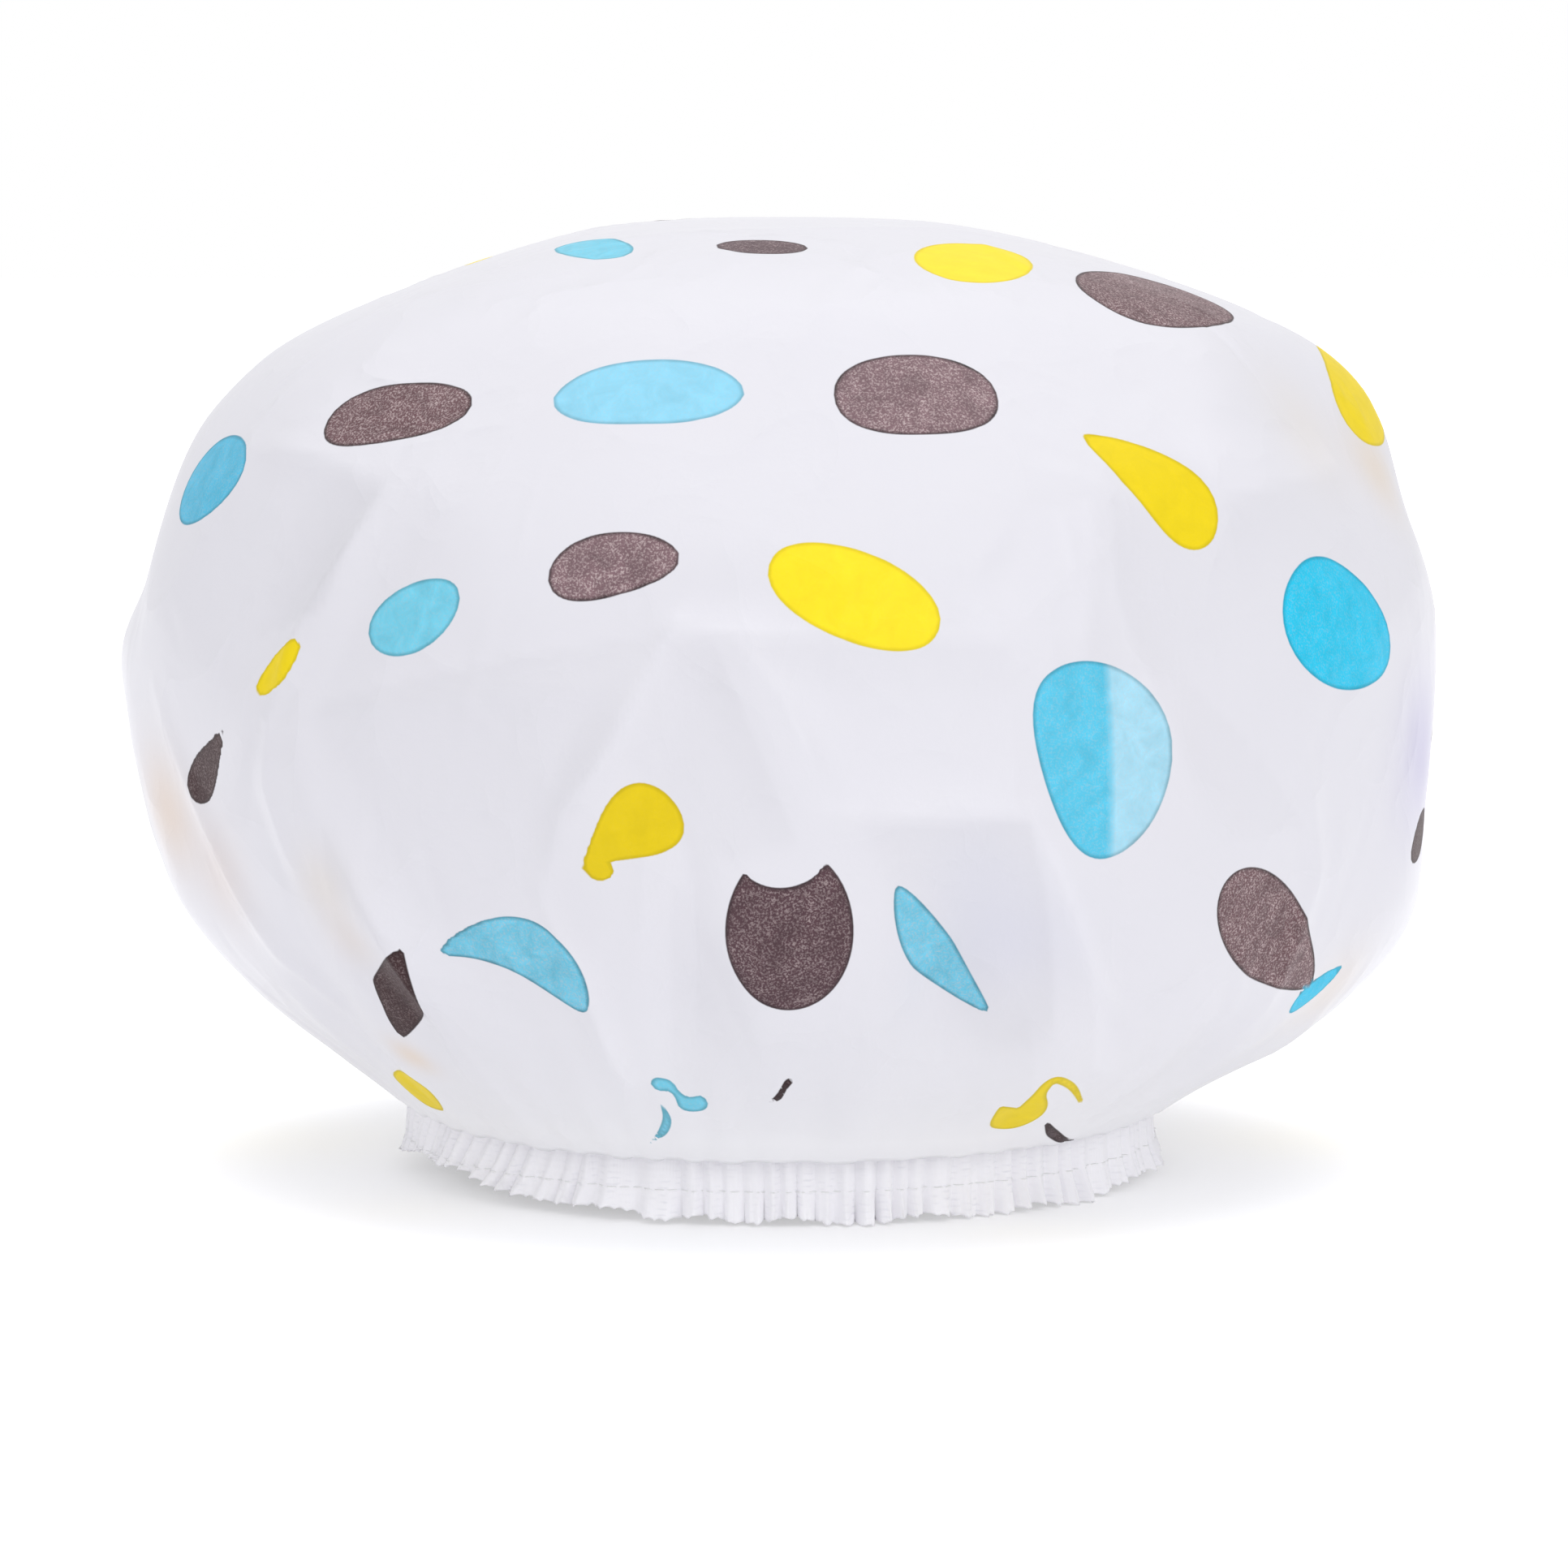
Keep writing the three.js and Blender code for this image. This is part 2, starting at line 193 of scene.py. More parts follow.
CREASES = tuple(
    Crease(*row)
    for row in (
        (((-99.5, 12), (-104, 3), (-109, -4), (-111.5, -11)), 1.6, 9),
        (((-99.5, 12), (-94, 10.5), (-90, 6), (-86.5, -1), (-84.5, -5)), 2.6, 13),
        (((-140, 2), (-121, 5), (-106, 6.5), (-99.5, 12)), 1.2, 9),
        (((-98, 11.5), (-90, 10.5), (-64, 10.5)), 0.9, 9),
        (((-68, -5), (-65, -12), (-62, -18), (-53, -26)), 2.2, 10),
        (((-85, -5), (-76, -4.5), (-68, -5)), 2.0, 11),
        (((-131, -7), (-128.5, -13), (-127, -19), (-126, -26), (-129, -38)), 1.8, 7),
        (((-112, -11), (-109, -21), (-106.5, -35)), 1.4, 7),
        (((-129.5, 23), (-133.5, 16), (-137.5, 9), (-139.5, 2)), 1.6, 8),
        (((-129.5, 23), (-140, 25), (-152, 25.5)), 1.2, 8),
        (((-139.5, 2), (-140, -4), (-137, -12)), 1.2, 8),
        (((-58, 23), (-59, 14), (-54, 1), (-50.5, -8)), 1.0, 9),
        (((-98.8, -4), (-97.7, -11), (-97.5, -18), (-99, -27)), -1.2, 8),
        (((-90, 35), (-88, 40), (-82, 49)), 0.7, 7),
        (((-69, 20), (-75, 15)), 0.7, 6),
        (((-22, -25), (-18, -34), (-27, -41)), 1.0, 7),
        (((-160, 3), (-152, -10), (-143, -22), (-138, -36)), 1.2, 7),
        (((-40, 2), (-34, -12), (-38, -30)), 1.0, 7),
        (((10, 30), (22, 12), (20, -8), (26, -30)), 1.6, 8),
        (((62, 34), (50, 12), (46, -10), (52, -34)), 1.8, 8),
        (((50, 12), (70, 4), (96, 8), (110, 20)), 1.2, 9),
        (((84, 42), (92, 20), (80, -6), (84, -32)), 1.6, 8),
        (((110, 20), (112, -4), (106, -34)), 1.6, 8),
        (((110, 20), (136, 12), (156, 18)), 1.2, 8),
        (((150, 40), (142, 16), (134, -12), (130, -36)), 1.6, 8),
        (((172, 36), (168, 8), (160, -16), (154, -36)), 1.2, 8),
        (((-150, 58), (-80, 72), (-10, 60)), 0.6, 10),
        (((60, 62), (110, 70), (160, 56)), 0.8, 9),
    )
)

# the waves of the puckers above the elastic: how many go round, their size and where they start
PUCKERS = (
    (7, 0.9, 0.7), (11, 1.0, 2.1), (17, 1.0, 4.4), (23, 0.9, 1.2),
    (31, 0.8, 5.0), (43, 0.65, 3.3), (67, 0.5, 1.9), (89, 0.35, 4.1),
)


@dataclass(frozen=True)
class CrownForm:
    """The shape of the puffed-out film, from the top of the crown down to the turned-up hem."""

    half_width: float = 140
    half_depth: float = 133
    height: float = 202.8
    belly: float = 100.4
    upper_fullness: float = 2.53
    upper_skew: float = 0.12
    lower_fullness: float = 2.6
    lower_skew: float = 0.41
    neck_radius: float = 80.7
    neck_height: float = 18.7
    flat_blend: float = 5
    gather_depth: float = 1.5
    gather_fade: float = 0.8
    columns: int = 560
    crown_rows: int = 150
    front_density: float = 0.35
    row_places: tuple[float, ...] = (0, 0.35, 0.65, 1)
    row_spacings: tuple[float, ...] = (2.6, 2.2, 1.7, 1.1)
    fine_rows: int = 1200
    hull_columns: int = 96
    hull_rows: int = 57
    least_facing: float = 0.05
    end_share: float = 0.3
    end_height: float = 0.25
    end_width: float = 0.6
    wrinkles: int = 300
    wrinkle_climbs: tuple[float, float] = (-42, 68)
    wrinkle_spans: tuple[float, float] = (5, 18)
    wrinkle_heights: tuple[float, float] = (0.12, 0.36)
    wrinkle_half_widths: tuple[float, float] = (2.2, 5)
    upright_below: float = -8
    upright_spread: float = 20
    other_spread: float = 60
    pucker_reach: float = 420
    pucker_fade: float = 45
    pucker_start: float = 7
    droop: float = 6.2
    droop_radius: float = 84.5
    droop_fade: float = 13
    right_lift: float = 1.4
    left_lift: float = 3.4
    right_tuck: float = 2.0
    left_tuck: float = 3.6
    tuck_radius: float = 100
    tuck_reach: float = 17
    right_span: float = 42
    left_span: float = 32
    seed: int = 11

    def core(self) -> Array:
        """The point from which bearings and climbs are counted."""
        return np.array([0.0, 0.0, self.belly])

    def bearings(self) -> Array:
        """The columns' bearings in radians, closest together at the front, where the eye is."""
        even = np.arange(self.columns) / self.columns * TURN - TURN / 2
        return even - self.front_density * np.cos(even)

    def rounded(self, bearing: Array, share: Array) -> Array:
        """The crown before its flats and folds: two superellipses that meet at the belly.

        Args:
            bearing: Bearings in radians.
            share: The way from the top, 0, to the neck, 1.

        Returns:
            Points, with their coordinates last.
        """
        side = np.cos(bearing)
        upper = 2 / (self.upper_fullness + self.upper_skew * side)
        lower = 2 / (self.lower_fullness + self.lower_skew * side)
        reach = 1 / np.hypot(side / self.half_width, np.sin(bearing) / self.half_depth)
        cut = (1 - (self.neck_radius / reach) ** (2 / lower)) ** (lower / 2)
        sweep = share * (TURN / 4 + np.arcsin(cut ** (1 / lower)))
        above = sweep <= TURN / 4
        turn = np.where(above, sweep, sweep - TURN / 4)
        sine, cosine = np.clip(np.sin(turn), 0, 1), np.clip(np.cos(turn), 0, 1)
        radius = reach * np.where(above, sine**upper, cosine**lower)
        high = self.belly + (self.height - self.belly) * cosine**upper
        low = self.belly - (self.belly - self.neck_height) * sine**lower / cut
        return ring(radius, bearing, np.where(above, high, low))

    def shares(self) -> Array:
        """The crown rows' shares, spaced as the row spacings say from the top down to the neck.

        Returns:
            The way from the top, 0, to the neck, 1, at each row.
        """
        fine = np.linspace(0, 1, self.fine_rows)
        arc = travelled(self.rounded(np.full_like(fine, -TURN / 4), fine))
        spacing = np.interp(arc / arc[-1], self.row_places, self.row_spacings)
        steps = np.diff(arc) / (spacing[1:] + spacing[:-1]) * 2
        count = np.concatenate([[0], np.cumsum(steps)])
        return np.interp(np.linspace(0, count[-1], self.crown_rows + 1), count, fine)

    def flatten(self, direction: Array, reach: Array) -> Array:
        """Draws the rounded crown in to its flats, each rounded off where it meets the rest.

        A flat lies its inset inside the rounded crown's tangent plane. The softened lesser of two
        lengths is their lesser, less (blend - gap)^2 / 4 blend where the gap is under the blend.

        Args:
            direction: Unit vectors from the core.
            reach: The rounded crown's distance along each.

        Returns:
            The distances after the flats.
        """
        around = np.arange(self.hull_columns) / self.hull_columns * TURN
        around, share = np.meshgrid(around, np.linspace(0, 1, self.hull_rows))
        hull = self.rounded(around, share).reshape(-1, 3) - self.core()
        for flat in FLATS:
            normal = direction_of(flat.bearing, flat.climb)
            distance = (hull @ normal).max() - flat.inset
            facing = direction @ normal
            plane = distance / np.maximum(facing, self.least_facing)
            plane = np.where(facing > self.least_facing, plane, np.inf)
            gap = np.minimum(np.abs(reach - plane), self.flat_blend)
            soft = (self.flat_blend - gap) ** 2 / (4 * self.flat_blend)
            reach = np.minimum(reach, plane) - soft
        return reach

    def fold(self, direction: Array, rounded: Array) -> Array:
        """How far the soft folds draw the film in, by two crossed tents each.

        Args:
            direction: Unit vectors from the core.
            rounded: The rounded crown's distance along each.

        Returns:
            The depth at each.
        """
        depth = np.zeros_like(rounded)
        for fold in FOLDS:
            normal = direction_of(fold.bearing, fold.climb)
            across, along = compass(normal, -fold.lean)
            sideways = (direction @ across) * rounded / fold.half_width
            lengthways = (direction @ along) * rounded / fold.half_length
            facing = direction @ normal > 0
            depth += fold.depth * tent(sideways) * tent(lengthways) * facing
        return depth

    def crease(self, direction: Array, rounded: Array, crease: Crease) -> Array:
        """How far one crease lifts the film: a sharp crest, (1 - distance / half width)^2.

        Args:
            direction: Unit vectors from the core.
            rounded: The rounded crown's distance along each.
            crease: The crease.

        Returns:
            The lift at each. Over the crease's two ends it fades and narrows.
        """
        knots = direction_of(*np.transpose(crease.route))
        middle = middle_of(knots)
        # only the points on the crease's side, out to well past its farthest knot
        near = np.flatnonzero(direction @ middle > (knots @ middle).min() * 0.95 - 0.1)
        point, reach, ways = direction[near], rounded[near], travelled(knots)
        best, place = np.full(len(near), np.inf), np.zeros(len(near))
        for start, end, before, after in zip(knots, knots[1:], ways, ways[1:]):
            share = np.clip((point - start) @ (end - start) / (after - before) ** 2, 0, 1)
            gap = point - (start + share[:, None] * (end - start))
            gap -= (gap * point).sum(1)[:, None] * point
            distance = np.linalg.norm(gap, axis=1) * reach
            closer = distance < best
            best = np.where(closer, distance, best)
            place = np.where(closer, before + share * (after - before), place)
        ending = np.minimum(place, ways[-1] - place) / ways[-1]
        fade = self.end_height + (1 - self.end_height) * smoothstep(ending, 0.0, self.end_share)
        half_width = crease.half_width * (self.end_width + (1 - self.end_width) * fade)
        crest = np.clip(1 - best / half_width, 0, 1) ** 2
        lift = np.zeros(len(direction))
        lift[near] = crease.height * fade * crest
        return lift

    def small_wrinkles(self) -> list[Crease]:
        """Short shallow wrinkles all over, which run up from the hem low down and any way above.

        Their climbs, their spans and the spreads of their headings are in degrees.

        Returns:
            The wrinkles.
        """
        random = np.random.default_rng(self.seed)
        found = []
        for _ in range(self.wrinkles):
            bearing, climb = random.uniform(-180, 180), random.uniform(*self.wrinkle_climbs)
            spread = self.upright_spread if climb < self.upright_below else self.other_spread
            heading = math.radians(random.normal(90, spread))
            half = random.uniform(*self.wrinkle_spans) / 2
            east = half * math.cos(heading) / math.cos(math.radians(climb))
            north = half * math.sin(heading)
            route = ((bearing - east, climb - north), (bearing + east, climb + north))
            height = random.uniform(*self.wrinkle_heights) * random.choice([-1, 1])
            found.append(Crease(route, height, random.uniform(*self.wrinkle_half_widths)))
        return found

    def gathers(self, bearing: Array) -> Array:
        """The film's gathers at the elastic, from 0 in a trough to 1 on a crest, unevenly wide."""
        # 58 narrow waves and 24 wide ones of half the height go once round
        warped = bearing + 0.05 * np.sin(3 * bearing + 1) + 0.03 * np.sin(7 * bearing)
        return np.clip(0.5 + (np.cos(58 * warped) + 0.5 * np.cos(24 * warped + 2)) / 3, 0, 1)

    def puckers(self, bearing: Array, above: Array) -> Array:
        """Folds that fan out from the gathers: the wide ones reach far up and the narrow ones fade.

        Args:
            bearing: Bearings in radians.
            above: Distances above the neck.

        Returns:
            How far the film stands out, as a sum of waves, each times exp(-above / its reach).
        """
        out = np.zeros(np.broadcast(bearing, above).shape)
        for count, size, start in PUCKERS:
            wave = np.cos(count * bearing + start + 0.8 * np.sin(2 * bearing + start))
            out = out + size * wave * np.exp(-above * count / self.pucker_reach)
        return out * np.exp(-above / self.pucker_fade) * smoothstep(above, 0, self.pucker_start)

    def sag(self, bearing: Array, radius: Array) -> Array:
        """How far the film hangs down over the lace, or is tucked up beyond it on both sides.

        Args:
            bearing: Bearings in radians.
            radius: Distances from the axis.

        Returns:
            The drop, which rises just outside the neck and fades as exp(-distance / droop fade),
            less a tuck that is deepest at its own radius.
        """
        away = np.abs(np.degrees(bearing))
        right = np.exp(-((away / self.right_span) ** 2))
        left = np.exp(-(((180 - away) / self.left_span) ** 2))
        most = self.droop - self.right_lift * right - self.left_lift * left
        start = smoothstep(radius, self.neck_radius - 0.2, self.droop_radius)
        beyond = np.clip(radius - self.droop_radius, 0, None)
        tuck = self.right_tuck * right + self.left_tuck * left
        tuck = tuck * np.exp(-(((radius - self.tuck_radius) / self.tuck_reach) ** 2))
        return most * start * np.exp(-beyond / self.droop_fade) - tuck * start

    def crown(self) -> Array:
        """The crown: rounded, flattened, folded and creased, then puckered and gathered below.

        Returns:
            The points as rows, from the top to the neck, columns and coordinates.
        """
        share, bearing = np.meshgrid(self.shares(), self.bearings(), indexing="ij")
        smooth = self.rounded(bearing, share)
        ray = (smooth - self.core()).reshape(-1, 3)
        rounded = np.linalg.norm(ray, axis=1)
        direction = ray / rounded[:, None]
        reach = self.flatten(direction, rounded) - self.fold(direction, rounded)
        for crease in (*CREASES, *self.small_wrinkles()):
            reach += self.crease(direction, rounded, crease)
        gathered = smoothstep(share, self.gather_fade, 1)
        reach += (rounded - reach) * gathered.reshape(-1)
        points = (direction * reach[:, None] + self.core()).reshape(smooth.shape)
        out = self.puckers(bearing, np.clip(points[..., 2] - self.neck_height, 0, None))
        out += gathered * self.gather_depth * self.gathers(bearing)
        points += ring(out, bearing, 0.0)
        sag = self.sag(bearing, np.hypot(points[..., 0], points[..., 1]))
        points[..., 2] -= sag * (points[..., 2] < self.belly)
        return points


@dataclass(frozen=True)
class HemStack:
    """The layers of the hem, from the inside out, and their heights above the table."""

    flap_radius: float = 72.5
    ply_radius: float = 76.0
    elastic_radius: float = 73.0
    lace_radius: float = 78.3
    fold_radius: float = 1.75
    fold_top: float = 6.75
    flap_top: float = 16.6
    lower_row: float = 7.0
    upper_row: float = 15.4
    elastic_bottom: float = 8.2
    elastic_width: float = 6.0
    lace_height: float = 17.0
    raw_edge_depth: float = 1.7
    raw_edge_waves: int = 74

    def casing(self, form: CrownForm) -> Array:
        """The film below the neck: in over the lace, down, round the fold and up the flap.

        A row's radius is its own, and shares of the gathers and of the raw edge's waves.

        Args:
            form: The crown, whose gathers the casing shares.

        Returns:
            Points as rows, columns and coordinates.
        """
        bearing = form.bearings()
        turns = np.linspace(0, TURN / 2, 7)
        middle = (self.ply_radius + self.flap_radius) / 2
        round_fold = zip(
            middle + self.fold_radius * np.cos(turns),
            np.cos(turns),
            np.zeros_like(turns),
            self.fold_top - self.fold_radius * np.sin(turns),
        )
        rows = [
            (form.neck_radius - 1.2, 0.9, 0, 18.0),
            (78.6, 0.6, 0, 17.8),
            *((self.ply_radius, 1, 0, height) for height in (17.3, 16, 14.5, 12.5, 10.5, 8.5)),
            *round_fold,
            *((self.flap_radius, -1, 0, height) for height in (8.5, 10.5, 12.5, 14.5)),
            (self.flap_radius - 0.9, -0.4, 0.35, 15.7),
            (self.flap_radius - 1.8, 0, 0.75, 16.3),
            (self.flap_radius - 2.0, 0, 1, self.flap_top),
        ]
        radius, gathered, waved, height = np.array(rows).T[..., None]
        puff = form.gather_depth * form.gathers(bearing)
        waves = self.raw_edge_depth * np.cos(self.raw_edge_waves * bearing)
        return ring(radius + gathered * puff + waved * waves, bearing, height)


class Ink(Enum):
    """The printing inks, by colour as sRGB hex, and how much pale grain shows through each."""

    PALE_BLUE = ("#8CD0EA", 0.2)
    BLUE = ("#70C9E2", 0.3)
    DUSKY_BLUE = ("#4EB6D8", 0.35)
    GRAINY_BLUE = ("#6ABFDA", 0.55)
    MID_BLUE = ("#52C0E0", 0.3)
    DEEP_BLUE = ("#1CC1E6", 0.25)
    YELLOW = ("#F6DE1A", 0.02)
    DEEP_YELLOW = ("#E9CF00", 0.02)
    DARK_YELLOW = ("#DEC300", 0.02)
    PALE_BROWN = ("#765D63", 1.0)
    BROWN = ("#61454A", 1.0)
    DARK_BROWN = ("#4B333A", 0.6)
    DEEP_BROWN = ("#301519", 0.3)

    @property
    def colour(self) -> Array:
        """The ink's linear colour."""
        return np.array(linear(self.value[0]))

    @property
    def grain(self) -> float:
        """How strongly the pale grain shows, from 0 to 1."""
        return self.value[1]


DOT_SPREAD = 2.2  # how far a dot may reach, over its greater half size
NEAR_SIDE = 40  # how far before the core the film has to lie, seen from a dot
SLOPE_STEP, LEAST_SLOPE = 0.05, 0.02  # the step that a dot's slope is taken over, and its least
LEAST_WIDTH = 0.15  # the least share of its width that a dot's taper leaves
STREAK_STEPS = 6  # places on a streak's middle from one knot to the next
STREAK_FACING, FACET_SHADE_FACING = 0.985, 0.7  # cosines from a middle, past which the film is left out


@dataclass(frozen=True)
class PrintedDot:
    """One dot of ink, as the folded film shows it.

    A dot is the region where |u|^end + |v|^side is under 1. u is the way along its length over the
    half length, and v the way across it over the half width, after its bend is taken off. Powers
    of 2 give an oval, and lower ones a pointed lens or a diamond. A fold may hide a part, an oval
    given by its middle and half sizes as shares of the dot's.
    """

    ink: Ink
    bearing: float
    climb: float
    half_length: float
    half_width: float
    tilt: float = 0
    taper: float = 0
    bend: float = 0
    end: float = 2
    side: float = 2
    hidden: tuple[float, float, float, float] | None = None
    # a painted sheen: the dot is painted paler by its fade on one side of a line across it, turned
    # by the next field
    fade: float = 0
    sheen_turn: float = 0

    def level(self, x: Array, y: Array) -> Array:
        """The dot's formula less 1.

        Args:
            x: The way along the dot, from its middle.
            y: The way across it.

        Returns:
            The level at each place, which is below 0 inside.
        """
        u = x / self.half_length
        width = self.half_width * np.clip(1 + self.taper * u, LEAST_WIDTH, None)
        inside = np.abs(u) ** self.end + np.abs((y - self.bend * u * u) / width) ** self.side - 1
        if self.hidden is None:
            return inside
        across, up, half_across, half_up = self.hidden
        right, high = (u - across) / half_across, (y / self.half_width - up) / half_up
        return np.maximum(inside, 1 - right**2 - high**2)

    def edge(self, ray: Array) -> tuple[Array, ...]:
        """The signed distance of points to the dot's edge, by its formula over its slope.

        Args:
            ray: The points, counted from the core.

        Returns:
            The indices of the points near the dot, their distances, below 0 inside, and their way
            across the dot, turned by the turn of its painted sheen, as a share of its half width.
        """
        normal = direction_of(self.bearing, self.climb)
        along, across = compass(normal, self.tilt)
        x, y = ray @ along, ray @ across
        spread = DOT_SPREAD * max(self.half_length, self.half_width)
        near = np.flatnonzero((np.hypot(x, y) < spread) & (ray @ normal > NEAR_SIDE))
        x, y, step = x[near], y[near], SLOPE_STEP
        level = self.level(x, y)
        slope = np.hypot(self.level(x + step, y) - level, self.level(x, y + step) - level)
        distance = level / np.maximum(slope / step, LEAST_SLOPE)
        turn = math.radians(self.sheen_turn)
        way = (y * math.cos(turn) - x * math.sin(turn)) / self.half_width
        return near, np.clip(distance, -FARTHEST, FARTHEST), way


SEEN_DOTS = (
    PrintedDot(Ink.BLUE, -136.2, 61.2, 14, 6.2, -17),
    PrintedDot(Ink.DARK_BROWN, -94.4, 63, 9.8, 5.8, -14),
    PrintedDot(Ink.YELLOW, -52.8, 55.6, 15.8, 11.2, 28),
    PrintedDot(Ink.BROWN, -28.6, 44.8, 22.8, 12.8, -2, end=2.6, side=2.2),
    PrintedDot(Ink.DEEP_YELLOW, -5.5, 28.6, 21, 11.2, 16),
    PrintedDot(Ink.DUSKY_BLUE, -157.3, 21.8, 13.4, 10.2, 14, -0.15),
    PrintedDot(Ink.BROWN, -134.2, 30.9, 17.3, 7.6, 15, -0.14, -0.6, end=2.3, side=2.3),
    PrintedDot(Ink.PALE_BLUE, -104.8, 34.5, 19.5, 8.3, 5, end=2.5, side=1.7),
    PrintedDot(Ink.PALE_BROWN, -75, 34.1, 16.6, 10.2, -3, end=2.3, side=2.3),
    PrintedDot(Ink.DEEP_YELLOW, -52, 23.8, 16.8, 7.2, -48, 0.5, -1.2, end=2.4, side=1.8),
    PrintedDot(Ink.DEEP_BLUE, -32.5, 9.3, 19.9, 13, -20, -0.2),
    PrintedDot(Ink.DEEP_YELLOW, -138.9, 6.5, 8.8, 3.5, 41, -0.07, 0.4, end=1.2),
    PrintedDot(Ink.BLUE, -123.9, 11.9, 12, 6.8, 25, -0.07, 0.6),
    PrintedDot(Ink.PALE_BROWN, -105, 17.2, 13.4, 6.3, 13, -0.15, -1, end=2.2),
    PrintedDot(Ink.YELLOW, -83.5, 14.6, 17.9, 8.9, -23, side=2.2),
    # painted paler on one side: a painted sheen where a fold crosses this dot
    PrintedDot(
        Ink.MID_BLUE, -60.7, 0.4, 20, 14.5, -76, -0.08, -4.5, side=2.1, fade=0.3, sheen_turn=-14
    ),
    PrintedDot(Ink.BROWN, -39, -17.4, 24, 9.6, -33, -0.35, end=1.6),
    PrintedDot(Ink.DEEP_BLUE, -27.8, -23.4, 8, 3.6, 36, -0.48),
    PrintedDot(Ink.DEEP_BROWN, -150.5, -2.9, 11.8, 3.9, 40, -0.7, 0.5),
    PrintedDot(Ink.DARK_YELLOW, -103.6, -5.7, 11.6, 6.1, 34, 0.87, -1.4),
    PrintedDot(Ink.DARK_YELLOW, -105.9, -9, 3, 2.4),
    PrintedDot(Ink.DARK_BROWN, -89.2, -14.6, 17.4, 12.7, -89, hidden=(-0.99, -0.1, 0.45, 0.74)),
    PrintedDot(Ink.GRAINY_BLUE, -114.7, -17, 16.2, 6.9, -20, 0.38, -7.8, end=2.3),
    PrintedDot(Ink.GRAINY_BLUE, -75.5, -17.8, 18, 4.8, -53, -0.2, 2.2, end=1.5, side=1.5),
    PrintedDot(Ink.DEEP_BROWN, -14.8, -10.3, 7.8, 4.8, 30, end=1.6),
    PrintedDot(Ink.DEEP_BROWN, -7, -4, 8, 4, 90),
    PrintedDot(Ink.DEEP_BROWN, -129.5, -22.6, 15.4, 6.6, 60, end=1.15, side=1.2),
    PrintedDot(Ink.DEEP_YELLOW, -141.4, -38, 6, 7.2, -24, 0.2),
)


@dataclass(frozen=True)
class PrintedStreak:
    """A dot that the film's folds leave only an uneven, curved streak of.

    Its knots are bearings, climbs and half widths along its middle, joined by a Catmull-Rom curve.
    """

    ink: Ink
    knots: tuple[tuple[float, float, float], ...]
    # a painted sheen as a dot's, which no streak has
    fade: float = 0

    def middle(self) -> Array:
        """The curve through the knots.

        Returns:
            Its places stretch by stretch, then the last knot, each like a knot.
        """
        knots = np.array(self.knots)
        ends = 2 * knots[[0, -1]] - knots[[1, -2]]
        around = np.concatenate([ends[:1], knots, ends[1:]])
        count = len(knots) - 1
        before, start, end, after = (around[place : place + count, None] for place in range(4))
        way = np.linspace(0, 1, STREAK_STEPS, endpoint=False)[:, None]
        bent = 2 * before - 5 * start + 4 * end - after
        bent = bent + way * (3 * (start - end) + after - before)
        curve = start + way / 2 * (end - before + way * bent)
        return np.concatenate([curve.reshape(-1, 3), knots[-1:]])

    def edge(self, ray: Array) -> tuple[Array, ...]:
        """The signed distance of points to the streak's edge, as a chain of tapered capsules.

        Args:
            ray: The points, counted from the core.

        Returns:
            The indices of the points near the streak, their distances, below 0 inside, and zeros,
            as its ink is even.
        """
        curve = self.middle()
        line, widths = direction_of(*curve[:, :2].T), curve[:, 2]
        normal = middle_of(line)
        facing = ray @ normal
        near = np.flatnonzero(facing > STREAK_FACING * np.linalg.norm(ray, axis=1))
        reach = facing[near].mean()
        line, place = flat_map(line, normal, reach), flat_map(ray[near], normal, reach)
        distance = np.full(len(near), FARTHEST)
        for start, end, wide, ending in zip(line, line[1:], widths, widths[1:]):
            way = np.clip((place - start) @ (end - start) / ((end - start) @ (end - start)), 0, 1)
            apart = place - start - way[:, None] * (end - start)
            width = wide + way * (ending - wide)
            distance = np.minimum(distance, np.linalg.norm(apart, axis=1) - width)
        return near, distance, np.zeros(len(near))


STREAKS = tuple(
    PrintedStreak(*row)
    for row in (
        (Ink.BLUE, (
            (-102.9, -31.8, 2), (-102.2, -31.9, 1.5), (-101.4, -33, 0.8), (-100.7, -34.4, 1.6),
            (-100, -34.9, 2.6), (-99.3, -34.6, 2.1), (-98.8, -33.8, 0.8),
        )),
        (Ink.BLUE, (
            (-103.4, -34.6, 0.2), (-103.4, -37.3, 0.9), (-104.9, -40.2, 0.9), (-107, -42.2, 0.2),
        )),
        (Ink.DEEP_YELLOW, (
            (-63.9, -36, 1), (-61.5, -38.3, 4.2), (-59.9, -38.3, 4.7), (-59.6, -36.8, 3.6),
            (-60.5, -33.8, 1.6), (-60.6, -31.8, 1.3), (-59.8, -31.2, 1.1), (-56.9, -32.8, 0.9),
            (-53, -36.1, 0.5),
        )),
        (Ink.DEEP_BROWN, (
            (-91.2, -34.3, 0.5), (-90.4, -34, 0.8), (-89.7, -32.5, 0.7), (-89.1, -31.2, 0.9),
        )),
        (Ink.DEEP_BROWN, (
            (-54.6, -40.2, 0.5), (-51.5, -42.6, 1.2), (-48, -44.4, 1.1), (-44.5, -45.4, 0.5),
        )),
    )
)


@dataclass(frozen=True)
class ShineThrough:
    """Ink on the film's far side that shows through faintly: where, how far and what colour."""

    bearing: float
    climb: float
    radius: float
    colour: str
    strength: float


